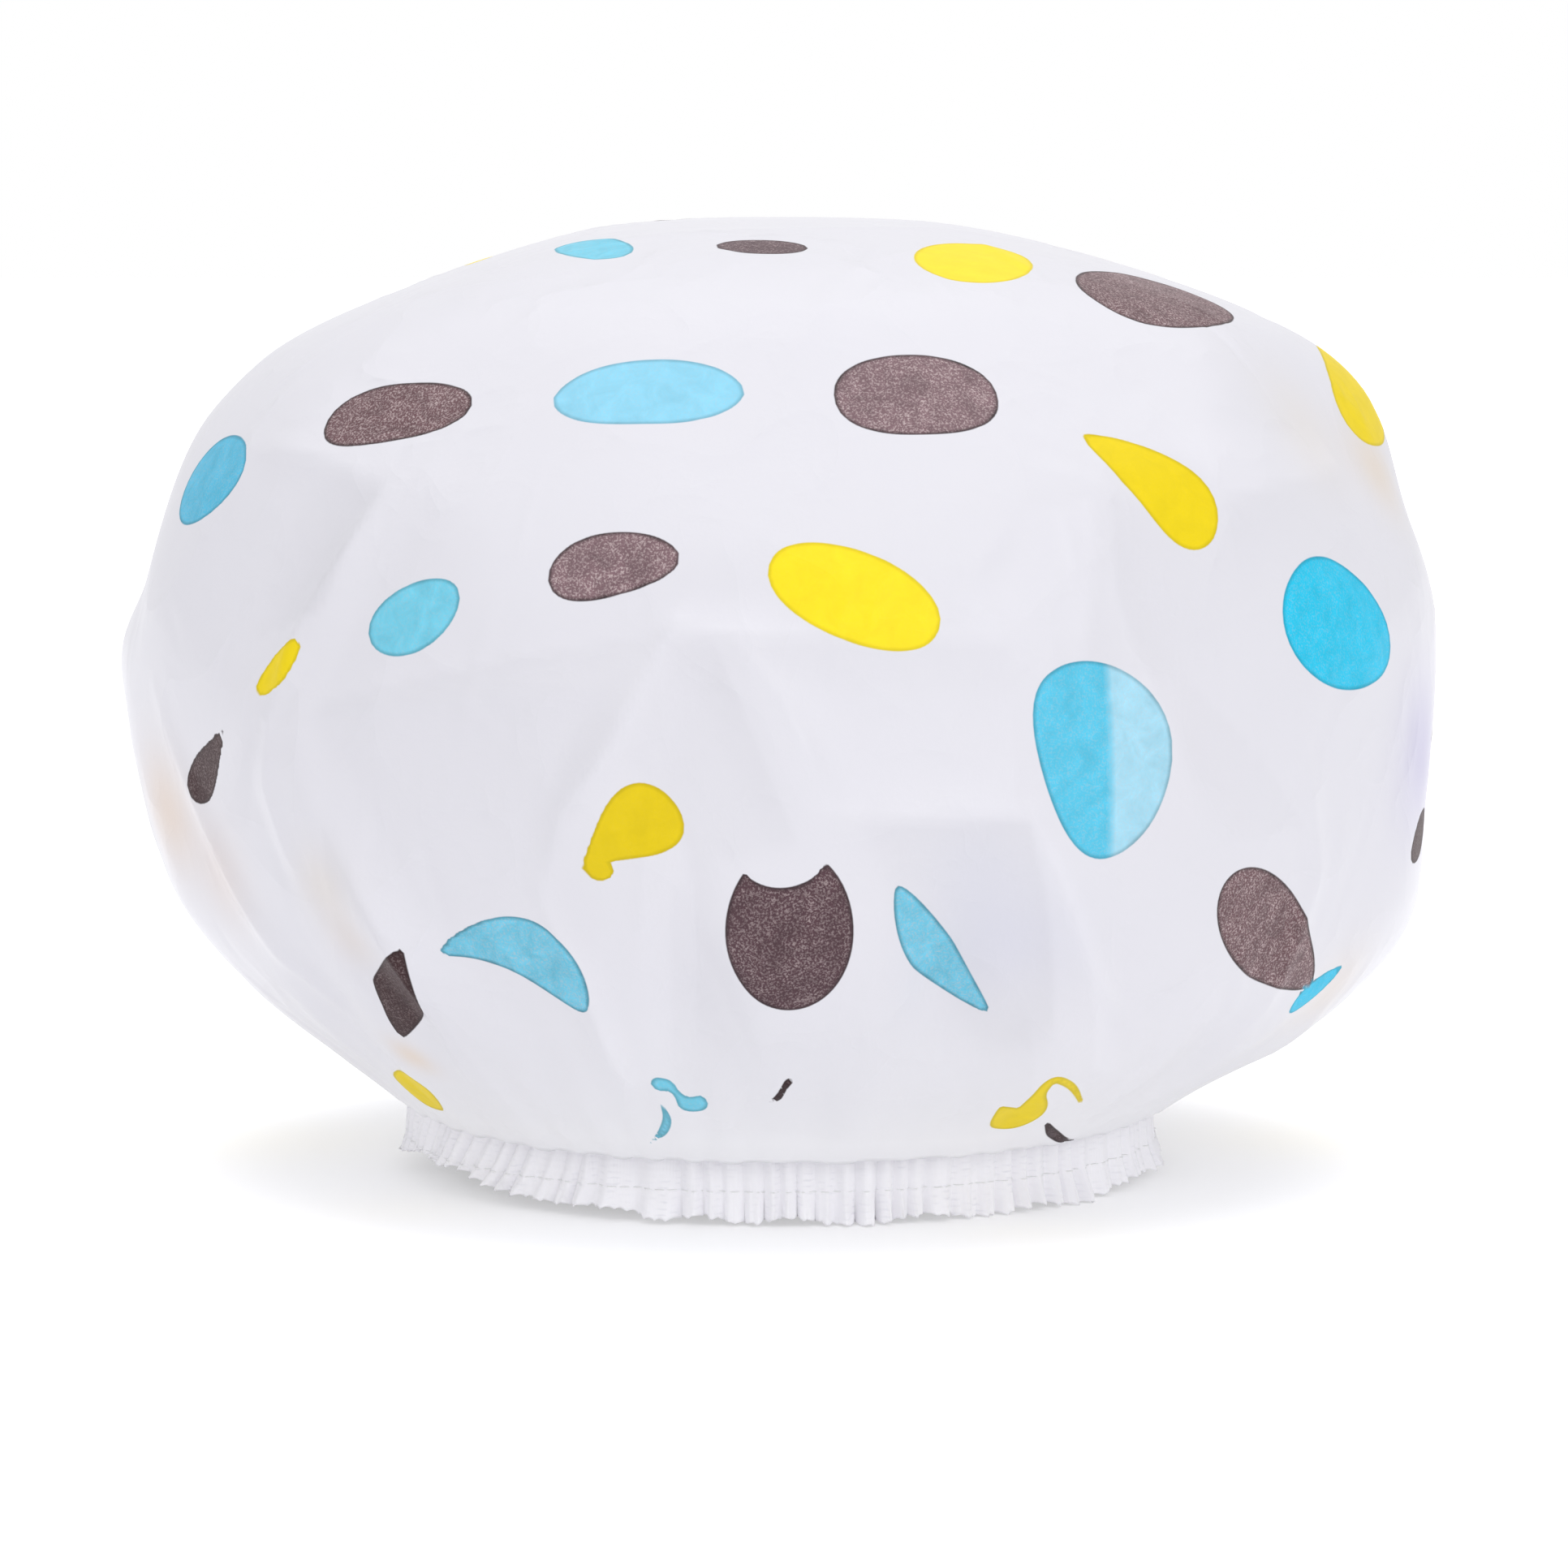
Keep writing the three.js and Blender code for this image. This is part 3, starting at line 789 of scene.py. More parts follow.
SHINES = tuple(
    ShineThrough(*row)
    for row in (
        (-161, -8, 11, "#FFDDB0", 0.45), (-152, -13, 10, "#FBE3CC", 0.35),
        (-134, -12, 7, "#FBEFD6", 0.35), (-132.5, -17, 6, "#FBEAD2", 0.3),
        (-134.5, -31.5, 5, "#FFDCA8", 0.5), (-25, 27, 12, "#FFF3D6", 0.25),
        (-14, 22, 9, "#FFE4B0", 0.4), (-24, -24, 9, "#FFEED2", 0.4),
        # these two blue-grey ones are a tint shining through and also painted shade, darker where a
        # fold faces away from the light
        (-72, -10, 10, "#DFE5FA", 0.12), (-69, -16, 11, "#DCE0F8", 0.2),
        (-16, -3, 14, "#C4BEE6", 0.6),
    )
)


@dataclass(frozen=True)
class PaintedFacetShade:
    """A facet of the folded film whose light and shade are painted: greyer, or whiter below 0.

    Its corners are bearings and climbs round a convex outline. Its first two sides are sharp, the
    others blurred. It is deepest at the first, and a share of that is left at the farthest corner.
    """

    depth: float
    left: float
    corners: tuple[tuple[float, float], ...]
    blur: float = 4
    sharp: float = 0.8

    def cover(self, direction: Array) -> tuple[Array, Array]:
        """Where the patch lies and how deep it is, by the distances to its sides on a flat map.

        Args:
            direction: Unit vectors from the core.

        Returns:
            The indices of the points that face the patch, and its depth at each.
        """
        knots = direction_of(*np.transpose(self.corners))
        middle = middle_of(knots)
        axes = np.transpose(compass(middle))
        near = np.flatnonzero(direction @ middle > FACET_SHADE_FACING)
        place = flat_map(direction[near], middle, MAP_RADIUS) @ axes
        knots = flat_map(knots, middle, MAP_RADIUS) @ axes
        depth = np.full(len(near), self.depth)
        for side, (start, end) in enumerate(zip(knots, np.roll(knots, -1, 0))):
            inward = np.array([start[1] - end[1], end[0] - start[0]])
            inward *= np.sign((knots.mean(0) - start) @ inward) / np.linalg.norm(inward)
            distance = (place - start) @ inward
            half = self.sharp if side < 2 else self.blur
            depth *= smoothstep(distance, -half, half)
            if side == 0:
                farthest = ((knots - start) @ inward).max()
                depth *= 1 - (1 - self.left) * np.clip(distance / farthest, 0, 1)
        return near, depth


PAINTED_FACET_SHADES = tuple(
    PaintedFacetShade(*row)
    for row in (
        (0.032, 0.2, ((-133.5, 4), (-100, 11.5), (-112.5, -13.5), (-125.5, -16), (-132, -6.5))),
        (0.034, 0.7, ((-88.5, -6.5), (-95.5, 10.5), (-99.5, 10.5), (-103.5, 0.5), (-97.5, -9)), 3),
        (0.019, 0.1, ((-70, 10), (-93, 11), (-90, 6), (-70, 5)), 3),
        (-0.022, 0, ((-87, -4), (-69, -4.5), (-70, 7), (-89.5, 7.5))),
        (-0.043, 0.2, ((-86.5, 11), (-99.5, 12), (-98.5, 14.5), (-90, 15.5)), 3),
        (-0.026, 0.2, ((-63, 9.5), (-60, 22.5), (-67, 21.5), (-76.5, 10.5)), 6),
        (0.027, 0.3, ((-59, 23), (-62.5, 8), (-55, 6.5), (-42, 11.5), (-39.5, 19.5)), 7),
        (-0.034, 0.6, ((-45, 21.5), (-22, 23), (-23, 26.5), (-48.5, 28.5))),
        (0.021, 0, ((-22, 22), (-45, 21.5), (-45.5, 11.5), (-28, 12.5)), 6),
        (0.06, 0.15, ((-130.5, 24), (-134, 12), (-143.5, 8.5), (-142.5, 18.5), (-140, 23))),
        (0.034, 0.3, ((-126.5, -17), (-132.5, -6.5), (-134, -16.5), (-133.5, -25)), 3),
        (0.026, 0.4, ((-125, -21.5), (-124.5, -42.5), (-141, -45), (-131.5, -28.5))),
        (-0.026, 0.3, ((-109.5, -18.5), (-106.5, -32.5), (-101.5, -30), (-99.5, -13.5),
                       (-104, -12)), 5),
        (0.027, 0.6, ((-99.5, -10.5), (-101.5, -30.5), (-97, -39.5), (-89, -40.5), (-95, -8.5)), 5),
        (0.026, 0.5, ((-66, -23), (-57, -41.5), (-92, -40), (-94.5, -24.5)), 8),
        (0.055, 0.4, ((-63, -25), (-68, -5), (-83.5, -5), (-79, -14), (-67.5, -28.5)), 5),
        (-0.034, 0.1, ((-67.5, -5), (-55.5, -30.5), (-51, -31), (-58.5, -19.5), (-64.5, -8.5)), 3),
        (0.02, 0.5, ((-52, 6), (-37.5, -7.5), (-46.5, -8), (-53.5, -2)), 5),
        (0.026, 0.2, ((-139, 4.5), (-144.5, -8), (-151.5, -8.5), (-144.5, -0.5))),
    )
)

# the rings of dots on the sides and back: their climbs, how many dots and the first bearing
RINGS = ((52, 3, 38), (33, 4, 26), (12, 5, 12), (-10, 5, 24), (-29, 4, 14))

# what is drawn for each of their dots, in this order: how far its bearing is off, its half length,
# its half width, how far its climb is off, its tilt, its taper and its bend
SPANS = ((-2, 2), (15, 20), (9.5, 13), (-2, 2), (-25, 25), (-0.2, 0.2), (-1.5, 1.5))

TOP_DOTS = tuple(
    PrintedDot(ink, bearing, 64, 12.5, 9.5, bearing / 4)
    for ink, bearing in ((Ink.YELLOW, 62), (Ink.BROWN, 120))
)
DOT_SEED = 5


def other_dots() -> list[PrintedDot]:
    """The dots on the top, sides and back: staggered rings of ovals in the three inks in turn.

    Returns:
        The dots, with sizes and tilts that vary a little as the film's folds make them.
    """
    random = np.random.default_rng(DOT_SEED)
    inks = (Ink.BROWN, Ink.BLUE, Ink.YELLOW)
    found = []
    for row, (climb, count, start) in enumerate(RINGS):
        for place in range(count):
            bearing = start + (180 - 2 * start) * place / (count - 1)
            off, length, width, higher, *rest = (random.uniform(*span) for span in SPANS)
            ink = inks[(place + 2 * row) % 3]
            found.append(PrintedDot(ink, bearing + off, climb + higher, length, width, *rest))
    return [*found, *TOP_DOTS]


def grid_faces(rows: int, columns: int) -> Array:
    """The quads of a closed grid of points counted row by row, facing out where rows run down.

    Args:
        rows: How many rows the grid has.
        columns: How many columns, which run towards +bearing, the last joined to the first.

    Returns:
        Four point numbers for each quad.
    """
    row, column = np.mgrid[: rows - 1, :columns] * np.array([columns, 1])[:, None, None]
    after = (column + 1) % columns
    corners = [row + column, row + columns + column, row + columns + after, row + after]
    return np.stack(corners, -1).reshape(-1, 4)


def unrolled(faces: Array, columns: int) -> Array:
    """The column of each face corner, counted on past the last where a face closes the grid."""
    column = faces % columns
    return np.where((column[:, :1] == columns - 1) & (column == 0), columns, column)


def make_piece(
    name: str,
    points: Array,
    faces: list[list[int]],
    material: bpy.types.Material,
    values: dict[str, Array] | None = None,
    flat_places: Array | None = None,
) -> bpy.types.Object:
    """Makes a smooth-shaded object whose place is in its mesh.

    Args:
        name: The piece's name.
        points: Points in millimetres.
        faces: The point numbers of each face.
        material: The finish.
        values: Attributes by name, one number or one colour for each point.
        flat_places: The UV place of each face corner in turn.

    Returns:
        The object, linked to the scene and carried by the root body.
    """
    mesh = bpy.data.meshes.new(name)
    mesh.from_pydata((points * MM).tolist(), [], faces)
    mesh.polygons.foreach_set("use_smooth", np.ones(len(mesh.polygons), bool))
    for key, value in (values or {}).items():
        kind, part = ("FLOAT_COLOR", "color") if value.ndim == 2 else ("FLOAT", "value")
        attribute = mesh.attributes.new(key, kind, "POINT")
        attribute.data.foreach_set(part, value.astype(np.float32).ravel())
    if flat_places is not None:
        layer = mesh.uv_layers.new(name="flat_places")
        layer.data.foreach_set("uv", flat_places.astype(np.float32).ravel())
    mesh.materials.append(material)
    mesh.validate()
    mesh.update()
    piece = bpy.data.objects.new(name, mesh)
    bpy.context.scene.collection.objects.link(piece)
    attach(piece, "root")
    LOG.info("%s: %d points, %d faces", name, len(points), len(faces))
    return piece


def add_node(
    tree: bpy.types.NodeTree, kind: str, *inputs: object, **rest: object
) -> bpy.types.Node:
    """Adds a node with its settings, and sets or links its sockets.

    Args:
        tree: The node tree.
        kind: The node's type, without its ShaderNode.
        *inputs: What goes into its first sockets, in turn.
        **rest: Its own settings, and what goes into sockets by name, with a capital and with _ for
            a space. A node that goes into a socket is linked by its first output in use.

    Returns:
        The node.
    """
    node = tree.nodes.new("ShaderNode" + kind)
    sockets = dict(enumerate(inputs))
    for key, value in rest.items():
        if key[0].isupper():
            sockets[key.replace("_", " ")] = value
        else:
            setattr(node, key, value)
    for key, value in sockets.items():
        if isinstance(value, bpy.types.Node):
            value = next(output for output in value.outputs if output.enabled)
        if isinstance(value, bpy.types.NodeSocket):
            tree.links.new(value, node.inputs[key])
        else:
            node.inputs[key].default_value = value
    return node


def ribs(add: Adder, way: bpy.types.Node | bpy.types.NodeSocket, spacing: float) -> bpy.types.Node:
    """A sine wave along a way, one wave for each spacing."""
    turn = add("Math", way, TURN / spacing, operation="MULTIPLY")
    return add("Math", turn, operation="SINE")


class Finish:
    """A finish made of nodes, whose name is that of the real material."""

    name: str

    def surface(self, add: Adder) -> bpy.types.Node:
        """The finish's shader and the nodes before it, each added by a call of add."""
        raise NotImplementedError

    def material(self) -> bpy.types.Material:
        """Makes the finish's material.

        Returns:
            The material.
        """
        material = bpy.data.materials.new(self.name)
        material.use_nodes = True
        material.node_tree.nodes.clear()
        add = partial(add_node, material.node_tree)
        add("OutputMaterial", Surface=self.surface(add))
        return material


@dataclass(frozen=True)
class PrintedFilmFinish(Finish):
    """Soft polyethylene-vinyl-acetate film, calendered milky white and printed by gravure.

    It gives the eye a smooth, faintly glossy, low-contrast white with fine crinkles, and flat inks
    whose edges are crisp and a little darker, where the ink has run to the rim.
    """

    name: str = "printed_polyethylene_film"
    film: str = "#DDDCE3"
    roughness: float = 0.36
    ink_roughness: float = 0.52
    rim_width: float = 1.1
    rim_darkness: float = 0.22
    edge_blur: float = 0.16
    grain_size: float = 0.42
    grain_colour: str = "#CDBCBC"
    patchiness: float = 1.3
    mottle_size: float = 5.0
    wash: float = 0.1
    grainy_wash: float = 0.5
    grainy_rim: float = 2.4
    crinkle_size: float = 26.0
    crinkle_depth: float = 0.6
    emboss_size: float = 0.9
    emboss_depth: float = 0.03

    def surface(self, add: Adder) -> bpy.types.Node:
        """The shader, from the piece's ink attributes and its Object coordinates.

        Args:
            add: Adds a node to the material.

        Returns:
            The shader.
        """
        place = add("TexCoord").outputs["Object"]
        # the film's colour attribute also carries painted shade on the facets of the folds and
        # painted light at the gathers
        film, ink, grain, edge = (
            add("Attribute", attribute_name=name)
            for name in ("film_colour_and_painted_light", "ink_colour", "ink_grain", "ink_edge")
        )
        grain, edge = grain.outputs["Fac"], edge.outputs["Fac"]
        # inked is 1 on the ink and 0 on the film, and rim, where the ink has run, falls from 1 at a
        # dot's edge to 0 at the rim's width inside it
        inked, rim = (
            add("MapRange", edge, From_Min=low, From_Max=high, interpolation_type="SMOOTHSTEP")
            for low, high in ((self.edge_blur, -self.edge_blur), (-self.rim_width, 0.0))
        )
        # pale grain where the ink misses the film, finer than a millimetre, and the slow
        # unevenness of the ink, as of a watercolour wash
        speck, mottle, emboss, crinkle = (
            add("TexNoise", Vector=place, Scale=1 / (size * MM), **settings)
            for size, settings in (
                (self.grain_size, {"Detail": 1.5, "Roughness": 0.6}),
                (self.mottle_size, {"Detail": 5.0, "Roughness": 0.65, "Distortion": 0.6}),
                (self.emboss_size, {"Detail": 1.0}),
                (self.crinkle_size, {
                    "Detail": 3.0, "Roughness": 0.55, "Distortion": 0.25, "Offset": 1.0,
                    "noise_type": "RIDGED_MULTIFRACTAL",
                }),
            )
        )
        grained = add("MapRange", speck, From_Min=0.46, From_Max=0.7, To_Max=0.6)
        sway = add("MapRange", mottle, From_Min=0.25, From_Max=0.75, To_Min=-0.5, To_Max=0.5)
        # the grain is thickest where the wash is thin, and stops short of the rim
        patchy = add("Math", sway, self.patchiness, 1.0, operation="MULTIPLY_ADD")
        within = add("Math", 1.0, rim, operation="SUBTRACT")
        for share in (grain, patchy, within):
            grained = add("Math", grained, share, operation="MULTIPLY")
        # the grainy inks are the most uneven, and also have the darkest rims
        uneven = add("Math", grain, self.grainy_wash, self.wash, operation="MULTIPLY_ADD")
        washed = add("Math", sway, uneven, 1.0, operation="MULTIPLY_ADD")
        grainy_rim = self.grainy_rim * self.rim_darkness
        deep = add("Math", grain, grainy_rim, self.rim_darkness, operation="MULTIPLY_ADD")
        rimmed = add("Math", rim, deep, operation="MULTIPLY")
        shade = add("Math", washed, rimmed, operation="SUBTRACT")
        wash = add("VectorMath", ink, Scale=shade, operation="SCALE")
        pale = linear(self.grain_colour)
        speckled = add("Mix", Factor=grained, A=wash, B=pale, data_type="RGBA")
        # crinkles left by folding the cap into its packet, and the film's fine emboss
        folded = add("Bump", Strength=0.5, Distance=self.crinkle_depth * MM, Height=crinkle)
        depth = self.emboss_depth * MM
        return add(
            "BsdfPrincipled",
            Base_Color=add("Mix", Factor=inked, A=film, B=speckled, data_type="RGBA"),
            Roughness=add("MapRange", inked, To_Min=self.roughness, To_Max=self.ink_roughness),
            IOR=1.45,
            Specular_IOR_Level=0.3,
            Normal=add("Bump", Strength=0.6, Distance=depth, Height=emboss, Normal=folded),
        )


@dataclass(frozen=True)
class KnittedLaceFinish(Finish):
    """Raschel-knitted polyester lace, bleached white.

    It gives the eye a matt white of fine upright wales, crossed by courses of thread, with small
    eyelets where the knit opens, painted grey for the film behind and the shade that lies on it.
    """

    name: str = "raschel_knitted_lace"
    white: str = "#FCFBFF"
    # the eyelets' painted grey, for the film and the painted shade behind the holes
    eyelet: str = "#C6C8D2"
    roughness: float = 0.85
    wale_spacing: float = 0.7
    course_spacing: float = 1.5
    thread_depth: float = 0.03
    eyelet_spacing: float = 3.0
    eyelet_rise: float = 0.7
    wale_share: float = 0.55
    eyelet_depth: float = 3.0
    pull_size: float = 10 / 3
    pull: tuple[float, float, float] = (4.0, 1.2, 0.0)
    uneven_size: float = 6.0

    def surface(self, add: Adder) -> bpy.types.Node:
        """The shader, on the piece's UV map, whose unit is a millimetre.

        Args:
            add: Adds a node to the material.

        Returns:
            The shader.
        """
        flat = add("UVMap", uv_map="flat_places")
        axes = add("SeparateXYZ", flat).outputs
        wales = ribs(add, axes["X"], self.wale_spacing)
        courses = ribs(add, axes["Y"], self.course_spacing)
        knit = add("Math", wales, self.wale_share, courses, operation="MULTIPLY_ADD")
        hole = self.eyelets(add, flat)
        # the eyelets are painted grey, for the film behind them and painted shade on it
        white, hole_shade = linear(self.white), linear(self.eyelet)
        height = add("Math", hole, -self.eyelet_depth, knit, operation="MULTIPLY_ADD")
        return add(
            "BsdfPrincipled",
            Base_Color=add("Mix", Factor=hole, A=white, B=hole_shade, data_type="RGBA"),
            Roughness=self.roughness,
            IOR=1.45,
            Sheen_Weight=0.35,
            Sheen_Roughness=0.5,
            Normal=add("Bump", Strength=0.6, Distance=self.thread_depth * MM, Height=height),
        )

    def eyelets(self, add: Adder, flat: bpy.types.Node) -> bpy.types.Node:
        """Staggered small holes, sin u times sin v over a threshold, open in some places only.

        Args:
            add: Adds a node to the material.
            flat: The place on the lace laid flat.

        Returns:
            A node that gives more in an eyelet and 0 around it.
        """
        # the knit is drawn out of line by its gathers
        drift = add("TexNoise", Vector=flat, Scale=1 / self.pull_size, Detail=2.0)
        drawn = add("VectorMath", drift.outputs["Color"], self.pull, flat, operation="MULTIPLY_ADD")
        axes = add("SeparateXYZ", drawn).outputs
        across = ribs(add, axes["X"], 2 * self.eyelet_spacing)
        up = ribs(add, axes["Y"], 2 * self.eyelet_rise)
        both = add("Math", across, up, operation="MULTIPLY")
        hole = add("MapRange", both, From_Min=0.2, From_Max=1.0)
        uneven = add("TexNoise", Vector=flat, Scale=1 / self.uneven_size, Detail=2.0)
        open_share = add("MapRange", uneven, From_Min=0.45, From_Max=0.75, To_Max=0.35)
        return add("Math", hole, open_share, operation="MULTIPLY")


@dataclass(frozen=True)
class BraidedElasticFinish(Finish):
    """Flat elastic: polyester yarn braided over rubber threads.

    It gives the eye a matt off-white strip with slanting ribs that change sides at its middle.
    """

    name: str = "braided_elastic"
    white: str = "#EFEDE6"
    # the painted shade in the grooves between the ribs
    groove: str = "#D6D2C8"
    roughness: float = 0.9
    rib_spacing: float = 1.0
    rib_depth: float = 0.2
    half_round: float = 4.0

    def surface(self, add: Adder) -> bpy.types.Node:
        """The shader, on the piece's UV map, whose unit is a millimetre.

        Args:
            add: Adds a node to the material.

        Returns:
            The shader.
        """
        axes = add("SeparateXYZ", add("UVMap", uv_map="flat_places")).outputs
        side = add("Math", axes["Y"], self.half_round, operation="PINGPONG")
        slant = add("Math", axes["X"], side, operation="ADD")
        rib = ribs(add, slant, self.rib_spacing)
        raised = add("MapRange", rib, From_Min=-1.0, From_Max=0.4)
        # the grooves between the ribs are painted darker: painted shade in the recesses
        groove, white = linear(self.groove), linear(self.white)
        return add(
            "BsdfPrincipled",
            Base_Color=add("Mix", Factor=raised, A=groove, B=white, data_type="RGBA"),
            Roughness=self.roughness,
            Normal=add("Bump", Distance=self.rib_depth * MM, Height=raised),
        )


@dataclass(frozen=True)
class SewingThreadFinish(Finish):
    """Spun polyester sewing thread, two plies twisted together.

    It gives the eye a soft white line with a slight satin sheen and the slant of its twist.
    """

    name: str = "spun_polyester_thread"
    white: str = "#FCFCFE"
    roughness: float = 0.6
    ply_spacing: float = 0.6
    ply_depth: float = 0.02

    def surface(self, add: Adder) -> bpy.types.Node:
        """The shader, on the piece's UV map, whose unit is a millimetre.

        Args:
            add: Adds a node to the material.

        Returns:
            The shader.
        """
        axes = add("SeparateXYZ", add("UVMap", uv_map="flat_places")).outputs
        slant = add("Math", axes["X"], axes["Y"], operation="ADD")
        ply = ribs(add, slant, self.ply_spacing)
        return add(
            "BsdfPrincipled",
            Base_Color=linear(self.white),
            Roughness=self.roughness,
            Sheen_Weight=0.2,
            Normal=add("Bump", Distance=self.ply_depth * MM, Height=ply),
        )


@dataclass
class CrownFilm:
    """The round sheet of printed film, puffed out, with its edge turned up inside as a casing."""

    form: CrownForm
    hem: HemStack
    finish: PrintedFilmFinish = field(default_factory=PrintedFilmFinish)
    cut_diameter: float = 560.0
    # painted light at the gathers: how much whiter the film is painted, and how far up that fades
    painted_light_at_gathers: float = 0.5
    painted_light_reach: float = 16.0

    def surface(self) -> tuple[Array, list[list[int]]]:
        """The film's points and faces: a pole at the top, then rows down to the raw edge.

        Returns:
            The points in millimetres and the faces.
        """
        crown = self.form.crown()
        rows = np.concatenate([crown[1:], self.hem.casing(self.form)])
        points = np.concatenate([crown[:1, 0], rows.reshape(-1, 3)])
        count, columns = rows.shape[:2]
        column = np.arange(columns)
        pole = np.stack([np.zeros_like(column), column + 1, (column + 1) % columns + 1], -1)
        return points, pole.tolist() + (grid_faces(count, columns) + 1).tolist()

    def inks(self, points: Array) -> dict[str, Array]:
        """The print, as attributes of the points.

        Args:
            points: The film's points.

        Returns:
            The signed distance to the nearest dot's edge, that dot's colour and grain, with the
            painted sheen of some dots, and the film's own colour with what shines through it,
            painted shade on the facets of its folds and painted light at its gathers.
        """
        ray, count = points - self.form.core(), len(points)
        edge, grain = np.full(count, FARTHEST), np.zeros(count)
        colour = np.tile(Ink.BLUE.colour, (count, 1))
        for dot in (*SEEN_DOTS, *STREAKS, *other_dots()):
            near, distance, across = dot.edge(ray)
            closer = distance < edge[near]
            chosen = near[closer]
            edge[chosen], grain[chosen] = distance[closer], dot.ink.grain
            # painted sheen: some dots are painted paler on one side, where a fold across them
            # catches the light
            pale = dot.fade * smoothstep(across[closer], -0.05, 0.1)[:, None]
            colour[chosen] = dot.ink.colour + (1 - dot.ink.colour) * pale
        film = np.tile(linear(self.finish.film), (count, 1))
        direction = ray / np.linalg.norm(ray, axis=1)[:, None]
        for shine in SHINES:
            facing = direction @ direction_of(shine.bearing, shine.climb)
            apart = np.arccos(np.clip(facing, -1, 1)) * MAP_RADIUS
            near = np.exp(-((apart / shine.radius) ** 2))[:, None]
            film *= 1 - near * shine.strength * (1 - np.array(linear(shine.colour)))
        # painted shade and painted light on the facets of the folds
        for facet_shade in PAINTED_FACET_SHADES:
            near, depth = facet_shade.cover(direction)
            film[near, :3] *= 1 - depth[:, None]
        # where the film is gathered it lies in layers, and painted light whitens it there, for the
        # light that comes through the film and up from the floor
        above = np.clip(points[:, 2] - self.form.neck_height, 0, None)
        layers = self.painted_light_at_gathers * np.exp(-above / self.painted_light_reach)
        film += (1 - film) * layers[:, None] * [1, 1, 1, 0]
        return {"ink_edge": edge, "ink_colour": colour, "ink_grain": grain, "film_colour_and_painted_light": film}

    def build(self) -> None:
        points, faces = self.surface()
        finish = self.finish.material()
        film = make_piece("crown_of_film", points, faces, finish, self.inks(points))
        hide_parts("crown_film")


